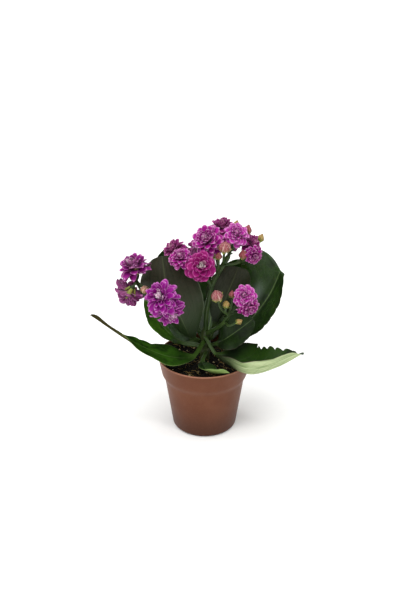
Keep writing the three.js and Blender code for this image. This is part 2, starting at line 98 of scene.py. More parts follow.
class NodeBench:
    # adds nodes to one tree, each with its settings and inputs in one call
    def __init__(self, tree):
        self.tree = tree

    def plug(self, socket, value):
        if isinstance(value, bpy.types.Node):
            value = value.outputs[0]
        if isinstance(value, bpy.types.NodeSocket):
            self.tree.links.new(value, socket)
        else:
            socket.default_value = value

    def add(self, kind, inputs=None, **settings):
        node = self.tree.nodes.new(kind)
        for name, value in settings.items():
            setattr(node, name, value)
        for key, value in (inputs or {}).items():
            self.plug(node.inputs[key], value)
        return node

    def math(self, operation, first, second=0.0, clamp=False):
        node = self.add("ShaderNodeMath", {0: first, 1: second}, operation=operation, use_clamp=clamp)
        return node.outputs[0]

    def times(self, first, second):
        return self.math("MULTIPLY", first, second)

    def plus(self, first, second):
        return self.math("ADD", first, second)

    def minus(self, first, second):
        return self.math("SUBTRACT", first, second)

    def blend(self, share, low, high):
        # low + (high - low) * share, for numbers
        node = self.add("ShaderNodeMapRange", {"Value": share, "To Min": low, "To Max": high})
        node.clamp = False
        return node.outputs[0]

    def fade(self, value, start, end, low=0.0, high=1.0):
        # smooth step from low at start to high at end
        inputs = {"Value": value, "From Min": start, "From Max": end, "To Min": low, "To Max": high}
        return self.add("ShaderNodeMapRange", inputs, interpolation_type="SMOOTHSTEP").outputs[0]

    def mix(self, share, first, second):
        # mix of two colours; sockets 0, 6 and 7 are the factor and the colours
        inputs = {0: share, 6: first, 7: second}
        return self.add("ShaderNodeMix", inputs, data_type="RGBA").outputs[2]

    def split(self, vector):
        return self.add("ShaderNodeSeparateXYZ", {0: vector}).outputs

    def join(self, x=0.0, y=0.0, z=0.0):
        return self.add("ShaderNodeCombineXYZ", {0: x, 1: y, 2: z}).outputs[0]

    def noise(self, coordinates, scale, detail=2.0, roughness=0.5):
        inputs = {"Vector": coordinates, "Scale": scale, "Detail": detail, "Roughness": roughness}
        return self.add("ShaderNodeTexNoise", inputs).outputs[0]

    def attribute(self, name, output):
        return self.add("ShaderNodeAttribute", attribute_name=name).outputs[output]

    def random(self, low, high, seed=0):
        # a number for each point or instance
        inputs = {2: low, 3: high, "Seed": seed}
        return self.add("FunctionNodeRandomValue", inputs, data_type="FLOAT").outputs[1]

    def turn(self, x=0.0, y=0.0, z=0.0):
        return self.add("FunctionNodeEulerToRotation", {0: self.join(x, y, z)}).outputs[0]

    def around(self, spin, radius, height=0.0):
        # place on a circle about +Z
        left = self.times(self.math("SINE", spin), radius)
        forward = self.times(self.math("COSINE", spin), radius)
        return self.join(self.times(left, -1.0), forward, height)

    def shape(self, source):
        info = self.add("GeometryNodeObjectInfo", {"Object": source, "As Instance": True})
        return info.outputs["Geometry"]

    def gather(self, *parts):
        joined = self.add("GeometryNodeJoinGeometry")
        for part in parts:
            self.plug(joined.inputs[0], part)
        return joined


def newSkin(name, roughness=0.5, specular=0.5, subsurface=0.0, subsurfaceDepth=1.0, sheen=0.0):
    # material with a Principled shader; numbers that are the same all over go on its own sockets
    material = bpy.data.materials.new(name)
    material.use_nodes = True
    bench = NodeBench(material.node_tree)
    shader = material.node_tree.nodes["Principled BSDF"]
    shader.inputs["Roughness"].default_value = roughness
    shader.inputs["Specular IOR Level"].default_value = specular
    shader.inputs["Subsurface Weight"].default_value = subsurface
    shader.inputs["Subsurface Radius"].default_value = (1.0, 0.6, 0.5)
    shader.inputs["Subsurface Scale"].default_value = subsurfaceDepth * mm
    shader.inputs["Sheen Weight"].default_value = sheen
    coordinates = bench.add("ShaderNodeTexCoord").outputs["Object"]
    return material, bench, shader, coordinates


def bump(bench, shader, height, strength, distance):
    inputs = {"Height": height, "Strength": strength, "Distance": distance * mm}
    bench.plug(shader.inputs["Normal"], bench.add("ShaderNodeBump", inputs).outputs[0])


def newTree(name, inputs):
    # Geometry Nodes tree with a geometry input and output and the named inputs
    tree = bpy.data.node_groups.new(name, "GeometryNodeTree")
    tree.interface.new_socket("Geometry", in_out="INPUT", socket_type="NodeSocketGeometry")
    for label, kind in inputs.items():
        tree.interface.new_socket(label, in_out="INPUT", socket_type="NodeSocket" + kind)
    tree.interface.new_socket("Geometry", in_out="OUTPUT", socket_type="NodeSocketGeometry")
    bench = NodeBench(tree)
    return tree, bench, bench.add("NodeGroupInput").outputs


def closeTree(bench, geometry, material):
    # every tree ends in Realize Instances and Set Material
    real = bench.add("GeometryNodeRealizeInstances", {"Geometry": geometry})
    finished = bench.add("GeometryNodeSetMaterial", {"Geometry": real, "Material": material})
    bench.add("NodeGroupOutput", {0: finished})


def runTree(source, tree, values, pieceName):
    # plain mesh object of what the tree makes from the source, which is removed
    modifier = source.modifiers.new(tree.name, "NODES")
    modifier.node_group = tree
    for item in tree.interface.items_tree:
        if item.item_type == "SOCKET" and item.in_out == "INPUT" and item.name in values:
            modifier[item.identifier] = values[item.name]
    source.update_tag()
    bpy.context.view_layer.update()
    evaluated = source.evaluated_get(bpy.context.evaluated_depsgraph_get())
    mesh = bpy.data.meshes.new_from_object(evaluated)
    source.modifiers.remove(modifier)
    bpy.data.objects.remove(source)
    return newPiece(pieceName, mesh)


def newPiece(name, data):
    data.name = name
    piece = bpy.data.objects.new(name, data)
    scene.collection.objects.link(piece)
    return piece


def meshFrom(name, vertices, faces, attribute=None, values=None, weld=1e-7):
    # closed smooth mesh, its doubles merged and its faces turned outwards
    mesh = bpy.data.meshes.new(name)
    mesh.from_pydata([tuple(v) for v in vertices], [], [tuple(f) for f in faces])
    if attribute:
        layer = mesh.attributes.new(attribute, "FLOAT_VECTOR", "POINT")
        layer.data.foreach_set("vector", np.asarray(values, np.float32).ravel())
    shape = bmesh.new()
    shape.from_mesh(mesh)
    bmesh.ops.remove_doubles(shape, verts=shape.verts, dist=weld)
    bmesh.ops.dissolve_degenerate(shape, edges=shape.edges, dist=weld)
    bmesh.ops.recalc_face_normals(shape, faces=shape.faces)
    for face in shape.faces:
        face.smooth = True
    shape.to_mesh(mesh)
    shape.free()
    return mesh


def gridFaces(rows, columns, offset=0, closed=False):
    # quads between neighbouring rows; closed joins the last column to the first
    faces = []
    for row in range(rows - 1):
        for column in range(columns if closed else columns - 1):
            following = (column + 1) % columns
            low = offset + row * columns
            high = low + columns
            faces.append((low + column, low + following, high + following, high + column))
    return faces


def patch(name, shares, acrosses, place, attribute=None):
    # thin closed shape of an upper and a lower skin; place gives the point for [share, across, sign]
    vertices, marks, faces = [], [], []
    for sign in (1, -1):
        start = len(vertices)
        for share in shares:
            for across in acrosses:
                vertices.append(place(share, across, sign))
                marks.append((across, share, max(sign, 0)))
        faces += gridFaces(len(shares), len(acrosses), offset=start)
    return meshFrom(name, vertices, faces, attribute, marks, weld=1e-4)


def turned(name, profile, sides):
    # lathe about +Z from [radius, height] points that start and end on the axis
    angles = np.arange(sides) * 2 * math.pi / sides
    points = np.array(profile, float)
    ring = np.stack([np.cos(angles), np.sin(angles)], axis=1)
    vertices = [(r * c * mm, r * s * mm, z * mm) for r, z in points for c, s in ring]
    return meshFrom(name, vertices, gridFaces(len(points), sides, closed=True))


def rounded(corner, radius, start, end, steps=6):
    # arc of [radius, height] points about a corner, between two angles in degrees
    arc = []
    for step in range(steps + 1):
        angle = math.radians(start + (end - start) * step / steps)
        arc.append([corner[0] + radius * math.cos(angle), corner[1] + radius * math.sin(angle)])
    return arc


def smoothPath(points, shares):
    # centripetal Catmull-Rom curve through the points: places and directions at shares of its length
    knots = np.array(points, float)
    knots = np.vstack([2 * knots[0] - knots[1], knots, 2 * knots[-1] - knots[-2]])
    share = np.linspace(0, 1, 60, endpoint=False)[:, None]
    pieces = []
    for first, start, end, last in zip(knots, knots[1:], knots[2:], knots[3:]):
        before = np.linalg.norm(start - first) ** 0.5
        between = np.linalg.norm(end - start) ** 0.5
        after = np.linalg.norm(last - end) ** 0.5
        leave = (start - first) / before - (end - first) / (before + between) + (end - start) / between
        arrive = (end - start) / between - (last - start) / (between + after) + (last - end) / after
        leave = leave * between
        arrive = arrive * between
        square = 3 * (end - start) - 2 * leave - arrive
        cube = 2 * (start - end) + leave + arrive
        pieces.append(start + leave * share + square * share**2 + cube * share**3)
    path = np.vstack([*pieces, knots[-2:-1]])
    lengths = np.concatenate([[0], np.cumsum(np.linalg.norm(np.diff(path, axis=0), axis=1))])
    slopes = np.gradient(path, lengths, axis=0)
    at = np.asarray(shares) * lengths[-1]
    places = np.stack([np.interp(at, lengths, path[:, k]) for k in range(3)], axis=1)
    directions = np.stack([np.interp(at, lengths, slopes[:, k]) for k in range(3)], axis=1)
    return places, directions / np.linalg.norm(directions, axis=1, keepdims=True)


def smoothStep(values, start, end):
    share = np.clip((values - start) / (end - start), 0, 1)
    return share * share * (3 - 2 * share)


def aimed(foot, direction, spin=0.0):
    # stands a shape that points along +Z on a foot, looking along a direction
    turn = Vector((0, 0, 1)).rotation_difference(Vector(direction)).to_matrix().to_4x4()
    return Matrix.Translation(Vector(foot) * mm) @ turn @ Matrix.Rotation(spin, 4, "Z")


def settle(piece, slotName, *nodes):
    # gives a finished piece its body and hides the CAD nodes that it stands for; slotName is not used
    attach(piece, "root")
    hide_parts(*nodes)


# camera, light and floor

view = {
    "place": (-0.0026, -0.480, 0.316),
    "towards": (0.0, 0.9033, -0.4289),
    "lens": 50.97,
    "skyBrightness": 0.3,
    "floorReach": 60,
}
lights = {
    "keyLight": {"power": 2.9, "softness": 80, "source": (-0.55, -0.3, 1.0)},
    "fillLight": {"power": 1.5, "softness": 90, "source": (0.8, 0.15, 0.9)},
    "glintLight": {"power": 0.45, "softness": 9, "source": (0.3, -0.45, 1.0)},
}

camera = bpy.data.objects.new("camera", bpy.data.cameras.new("camera"))
camera.data.lens = view["lens"]
camera.data.clip_start = 0.01
camera.data.clip_end = 200
camera.location = view["place"]
camera.rotation_euler = Vector(view["towards"]).to_track_quat("-Z", "Y").to_euler()
scene.collection.objects.link(camera)
scene.camera = camera
scene.view_settings.view_transform = "Standard"

for name, light in lights.items():
    lamp = bpy.data.objects.new(name, bpy.data.lights.new(name, "SUN"))
    lamp.data.energy = light["power"]
    lamp.data.angle = math.radians(light["softness"])
    lamp.rotation_euler = Vector(light["source"]).to_track_quat("Z", "Y").to_euler()
    scene.collection.objects.link(lamp)
scene.world = bpy.data.worlds.new("paleStudio")
scene.world.use_nodes = True
skyBench = NodeBench(scene.world.node_tree)
skyInputs = scene.world.node_tree.nodes["Background"].inputs
skyInputs[0].default_value = (1, 1, 1, 1)
# the backdrop past the floor's edge is plain white, brighter than the light it gives
seen = skyBench.add("ShaderNodeLightPath").outputs["Is Camera Ray"]
skyBench.plug(skyInputs[1], skyBench.blend(seen, view["skyBrightness"], 1.0))

floorMesh = bpy.data.meshes.new("floor")
reach = view["floorReach"]
corners = [(-reach, -reach, 0), (reach, -reach, 0), (reach, reach, 0), (-reach, reach, 0)]
floorMesh.from_pydata(corners, [], [(0, 1, 2, 3)])
floor = newPiece("floor", floorMesh)
floorSkin, bench, shader, coordinates = newSkin("palePaper", roughness=0.9, specular=0.1)
grain = bench.noise(coordinates, 300, 3)
bench.plug(shader.inputs["Base Color"], bench.mix(grain, paint(246, 246, 245), paint(250, 250, 249)))
floorMesh.materials.append(floorSkin)
floor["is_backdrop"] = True
print("camera, light and floor")


# pot: thin moulded shell with a collar

pot = {
    "height": 50,
    "rimRadius": 30,
    "collarHeight": 15,
    "collarFootRadius": 27,
    "collarStep": 5,
    "bodyTopRadius": 25.8,
    "baseRadius": 20.9,
    "baseRounding": 2.2,
    "wall": 0.9,
    "lip": 0.45,
    "base": 1.2,
    "holes": 6,
    "holeRadius": 2.2,
    "holeRing": 12.5,
    "sides": 144,
}


def potProfile():
    # outside from the axis up to the lip, then down the inside back to the axis
    bodyTop = pot["height"] - pot["collarHeight"]
    foot = pot["baseRadius"] - pot["baseRounding"]
    lipHeight = pot["height"] - pot["lip"]
    lipFoot = lipHeight - 0.6
    profile = [[0, 0], [foot * 0.6, 0], [foot - 0.6, 0]]
    profile += rounded((foot, pot["baseRounding"]), pot["baseRounding"], -90, -6)
    for height in np.linspace(pot["baseRounding"] + 1.2, lipFoot, 44):
        share = (height - pot["baseRounding"]) / (bodyTop - pot["baseRounding"])
        body = pot["baseRadius"] + (pot["bodyTopRadius"] - pot["baseRadius"]) * share
        share = (height - bodyTop) / pot["collarHeight"]
        collar = pot["collarFootRadius"] + (pot["rimRadius"] - pot["collarFootRadius"]) * share
        above = smoothStep(height, bodyTop - 1.5, bodyTop - 1.5 + pot["collarStep"])
        profile.append([body + (collar - body) * above, height])
    profile += rounded((pot["rimRadius"] - pot["lip"], lipHeight), pot["lip"], -20, 180, 8)
    wallTop = pot["rimRadius"] - pot["wall"] - pot["lip"]
    profile += [[wallTop, lipHeight - 0.8], [pot["collarFootRadius"] - pot["wall"], bodyTop + 0.4]]
    profile += [[pot["bodyTopRadius"] - pot["wall"], bodyTop - 0.6]]
    profile += [[pot["baseRadius"] - pot["wall"], pot["base"] + 1]]
    profile += [[foot - 0.4, pot["base"]], [0, pot["base"]]]
    return profile


def drillHoles(piece):
    drills = bmesh.new()
    for i in range(pot["holes"]):
        angle = (i + 0.5) * 2 * math.pi / pot["holes"]
        at = Matrix.Translation(Vector((math.cos(angle), math.sin(angle), 0)) * pot["holeRing"] * mm)
        radius = pot["holeRadius"] * mm
        bmesh.ops.create_cone(drills, cap_ends=True, segments=32, radius1=radius, radius2=radius,
                              depth=4 * pot["base"] * mm, matrix=at)
    mesh = bpy.data.meshes.new("drills")
    drills.to_mesh(mesh)
    drills.free()
    cutter = newPiece("drills", mesh)
    cut = piece.modifiers.new("holes", "BOOLEAN")
    cut.operation = "DIFFERENCE"
    cut.object = cutter
    bpy.context.view_layer.update()
    evaluated = piece.evaluated_get(bpy.context.evaluated_depsgraph_get())
    drilled = bpy.data.meshes.new_from_object(evaluated)
    piece.modifiers.remove(cut)
    piece.data = drilled
    bpy.data.objects.remove(cutter)


def potSkin():
    # satin terracotta-coloured plastic: clouded colour, painted foot shade, worn lip, soil dust, fine
    # moulded grain
    material, bench, shader, coordinates = newSkin("terracottaPlastic", specular=0.16)
    height = bench.split(coordinates)[2]
    cloud = bench.noise(coordinates, 55, 4, 0.6)
    speck = bench.noise(coordinates, 1400, 2)
    body = bench.mix(bench.fade(cloud, 0.35, 0.7), paint(98, 54, 32), paint(107, 62, 40))
    # painted shade: the wall darkens towards the foot
    low = bench.fade(height, 0.001, 0.03, 1.0, 0.0)
    body = bench.mix(bench.times(low, 0.75), body, paint(62, 33, 20))
    grit = bench.fade(speck, 0.5, 0.8)
    body = bench.mix(bench.times(grit, 0.12), body, paint(140, 96, 72))
    worn = bench.fade(height, pot["height"] * mm - 0.0011, pot["height"] * mm - 0.0002)
    body = bench.mix(bench.times(worn, 0.7), body, paint(168, 118, 94))
    bench.plug(shader.inputs["Base Color"], body)
    rough = bench.blend(bench.noise(coordinates, 160, 3), 0.36, 0.5)
    bench.plug(shader.inputs["Roughness"], rough)
    # shallow upright flutes, only near the foot
    x, y, _ = bench.split(coordinates)
    around = bench.join(bench.times(bench.math("ARCTAN2", y, x), 9.0), bench.times(height, 30.0))
    flutes = bench.noise(around, 2.2)
    foot = bench.fade(height, 0.003, 0.013, 1.0, 0.15)
    pitted = bench.noise(coordinates, 700, 4, 0.65)
    relief = bench.plus(pitted, bench.times(flutes, foot))
    bump(bench, shader, relief, 0.35, 0.16)
    return material


potPiece = newPiece("nursery_pot", turned("nursery_pot", potProfile(), pot["sides"]))
drillHoles(potPiece)
potPiece.data.materials.clear()
potPiece.data.materials.append(potSkin())
potPiece.data.set_sharp_from_angle(angle=math.radians(40))
settle(potPiece, "pot_plastic", "pot")
print("pot")


# soil: a rough peat surface under loose crumbs, perlite and fibres

soil = {
    "radius": 27.3,
    "bottomRadius": 25.6,
    "bottom": 38,
    "height": 44.6,
    "mound": 1.8,
    "heapHeight": 5.2,
    "heapAngle": 150,
    "heapWidth": 42,
    "crumbsPerSquareMetre": 620000,
    "perlitePerSquareMetre": 15000,
    "fibresPerSquareMetre": 70000,
    "seed": 4,
}


def soilHeight(radius, angle):
    share = radius / soil["radius"]
    turn = (math.degrees(angle) - soil["heapAngle"] + 180) % 360 - 180
    heap = soil["heapHeight"] * math.exp(-(turn / soil["heapWidth"]) ** 2) * smoothStep(share, 0.3, 0.9)
    rough = 0.0
    for k, (wave, size) in enumerate(((0.35, 0.5), (0.8, 0.35), (1.7, 0.2))):
        x, y = radius * math.cos(angle), radius * math.sin(angle)
        rough += size * math.sin(wave * x + 1.3 * k) * math.cos(wave * y + 2.1 * k)
    return soil["height"] + soil["mound"] * (1 - share) + heap + rough


def soilGround():
    rings = 30
    sides = 110
    angles = [2 * math.pi * k / sides for k in range(sides)]
    rows = [[(0, 0, soil["bottom"])] * sides]
    low = soil["bottomRadius"]
    rows.append([(low * math.cos(a), low * math.sin(a), soil["bottom"]) for a in angles])
    for ring in range(rings, -1, -1):
        radius = soil["radius"] * ring / rings
        rows.append([(radius * math.cos(a), radius * math.sin(a), soilHeight(radius, a if ring else 0))
                     for a in angles])
    vertices = [Vector(point) * mm for row in rows for point in row]
    return meshFrom("potting_soil", vertices, gridFaces(len(rows), sides, closed=True))


def roughLump(name, seed, size, flatness, jag):
    # small irregular lump about one millimetre across
    lump = bmesh.new()
    bmesh.ops.create_icosphere(lump, subdivisions=1, radius=0.5 * size * mm)
    draw = random.Random(seed)
    for vertex in lump.verts:
        vertex.co *= 1 + draw.uniform(-jag, jag)
        vertex.co.z *= flatness
    mesh = bpy.data.meshes.new(name)
    lump.to_mesh(mesh)
    lump.free()
    return mesh


def fibreStrand(name):
    # thin bent strand lying along +X
    shares = np.linspace(0, 1, 7)
    places, _ = smoothPath([(-3, 0, 0), (-1.4, 0.7, 0.3), (0.6, -0.4, 0.7), (3.1, 0.3, 0.1)], shares)
    sides = 3
    vertices = []
    for row, place in enumerate(places):
        thick = 0.11 if 0 < row < len(places) - 1 else 0.02
        for side in range(sides):
            angle = 2 * math.pi * side / sides
            vertices.append(Vector((place[0], place[1] + thick * math.cos(angle),
                                    place[2] + thick * math.sin(angle))) * mm)
    faces = gridFaces(len(places), sides, closed=True)
    faces += [(2, 1, 0), tuple(range(len(vertices) - sides, len(vertices)))]
    return meshFrom(name, vertices, faces)


def scatterTree():
    # loose pieces strewn over the upward faces of a surface
    inputs = {"Piece": "Object", "Density": "Float", "Smallest": "Float", "Largest": "Float",
              "Sink": "Float", "Tumble": "Float", "Reach": "Float", "Keep Ground": "Bool",
              "Skin": "Material", "Seed": "Int"}
    tree, bench, given = newTree("looseScatter", inputs)
    normal = bench.split(bench.add("GeometryNodeInputNormal"))[2]
    spot = bench.split(bench.add("GeometryNodeInputPosition"))
    away = bench.plus(bench.math("POWER", spot[0], 2), bench.math("POWER", spot[1], 2))
    inside = bench.math("LESS_THAN", bench.math("SQRT", away), given["Reach"])
    upwards = bench.times(bench.math("GREATER_THAN", normal, 0.35), inside)
    spread = bench.add("GeometryNodeDistributePointsOnFaces", {
        "Mesh": given["Geometry"], "Selection": upwards,
        "Density": given["Density"], "Seed": given["Seed"]})
    tumble = bench.add("FunctionNodeRandomValue", {
        0: (-1.0, -1.0, -math.pi), 1: (1.0, 1.0, math.pi), "Seed": given["Seed"]},
        data_type="FLOAT_VECTOR")
    parts = bench.split(tumble)
    lean = [bench.times(parts[k], given["Tumble"]) for k in range(2)]
    size = bench.random(given["Smallest"], given["Largest"], bench.plus(given["Seed"], 7))
    sunk = bench.add("GeometryNodeSetPosition", {
        "Geometry": spread, "Offset": bench.join(z=bench.times(given["Sink"], -1.0))})
    placed = bench.add("GeometryNodeInstanceOnPoints", {
        "Points": sunk, "Instance": bench.shape(given["Piece"]),
        "Rotation": bench.turn(*lean, parts[2]), "Scale": size})
    shade = bench.random(0.0, 1.0)
    marked = bench.add("GeometryNodeStoreNamedAttribute", {
        "Geometry": placed, "Name": "lumpShade", "Value": shade}, data_type="FLOAT", domain="INSTANCE")
    ground = bench.add("GeometryNodeSwitch", {
        "Switch": given["Keep Ground"], "True": given["Geometry"]})
    closeTree(bench, bench.gather(marked, ground), given["Skin"])
    return tree


def peatSkin():
    material, bench, shader, coordinates = newSkin("darkPeat", roughness=0.95, specular=0.2)
    shade = bench.attribute("lumpShade", "Fac")
    cloud = bench.noise(coordinates, 420, 4, 0.7)
    colour = bench.mix(bench.fade(cloud, 0.3, 0.75), paint(9, 8, 6), paint(26, 22, 15))
    colour = bench.mix(bench.fade(shade, 0.55, 1.0, 0.0, 0.7), colour, paint(34, 28, 17))
    bench.plug(shader.inputs["Base Color"], colour)
    bump(bench, shader, bench.noise(coordinates, 1500, 4, 0.7), 0.8, 0.4)
    return material


def perliteSkin():
    material, bench, shader, coordinates = newSkin("palePerlite", roughness=0.9, specular=0.3)
    stain = bench.fade(bench.noise(coordinates, 600, 3), 0.4, 0.7)
    bench.plug(shader.inputs["Base Color"], bench.mix(stain, paint(182, 168, 126), paint(120, 104, 70)))
    bump(bench, shader, bench.noise(coordinates, 2500, 2), 0.5, 0.2)
    return material


def fibreSkin():
    material, bench, shader, coordinates = newSkin("goldenFibre", roughness=0.8, specular=0.3)
    mixed = bench.noise(coordinates, 250, 2)
    bench.plug(shader.inputs["Base Color"], bench.mix(mixed, paint(110, 84, 42), paint(168, 142, 80)))
    return material


# sink is how deep a piece lies below the surface, tumble how far it may lean, reach how near the wall
strewn = {
    "potting_soil": {
        "lump": roughLump("soilCrumb", 1, 1.6, 0.8, 0.28), "skin": peatSkin(), "ground": True,
        "density": "crumbsPerSquareMetre", "sizes": (0.5, 1.5), "sink": 0.1, "tumble": 1.5, "reach": 26.6,
    },
    "soil_perlite": {
        "lump": roughLump("perliteGrain", 5, 1.5, 0.9, 0.2), "skin": perliteSkin(), "ground": False,
        "density": "perlitePerSquareMetre", "sizes": (0.5, 1.3), "sink": -0.3, "tumble": 1.5,
        "reach": 26.4,
    },
    "soil_fibres": {
        "lump": fibreStrand("fibreStrand"), "skin": fibreSkin(), "ground": False,
        "density": "fibresPerSquareMetre", "sizes": (0.45, 1.2), "sink": -0.7, "tumble": 0.35,
        "reach": 22.5,
    },
}
scatter = scatterTree()
for count, (name, loose) in enumerate(strewn.items()):
    lump = newPiece(loose["lump"].name, loose["lump"])
    smallest, largest = loose["sizes"]
    piece = runTree(newPiece("soilSurface", soilGround()), scatter, {
        "Piece": lump, "Density": float(soil[loose["density"]]), "Smallest": smallest, "Largest": largest,
        "Sink": loose["sink"] * mm, "Tumble": loose["tumble"], "Reach": loose["reach"] * mm,
        "Keep Ground": loose["ground"], "Skin": loose["skin"], "Seed": soil["seed"] + count}, name)
    bpy.data.objects.remove(lump)
    settle(piece, "soil", "potting_soil")
print("soil")


# leaves: fleshy blades with a midrib and round teeth
# spine: points of the midrib. face: where the upper side looks, at the stem and at the tip.
# width, fold, sweep, widest, ends and teeth have one value for each half blade: its width, how far it is
# folded up in degrees, how far its margin is swept to the tip, where it is widest, the share of the
# midrib where it ends, and the [count, depth] of its teeth. petiole: share of the midrib without a blade.
# upper and under: two colours that each side is clouded with. underLow: colour of the lower side near the
# stem, up to lowEnd. margin, edge, tipEdge: colour of the margin and its strength, all along and at the
# tip. heart: how far the painted shade at the base of the blade reaches. bloom: painted highlight, a pale
# sheen streak, [across, width, start, end]. ribs: how clearly the side veins and the midrib show below.
# usualLeaf is for what a leaf doesn't give itself.
usualLeaf = {
    "cup": 8, "sweep": (0, 0), "petiole": 0.2, "widest": (1, 1), "ends": (1, 1),
    "teeth": ((8, 0.8), (8, 0.8)), "ripple": 0.6, "upper": (paint(36, 62, 16), paint(20, 38, 10)),
    "under": (paint(70, 92, 52), paint(52, 72, 38)), "underLow": None, "lowEnd": 0.75,
    "margin": paint(62, 52, 44), "edge": 0.5, "tipEdge": 0.2, "tip": None, "heart": 0.35, "paintedSheen": None,
    "ribs": (0.4, 0.3), "shine": 0.22, "gloss": 0.34,
}
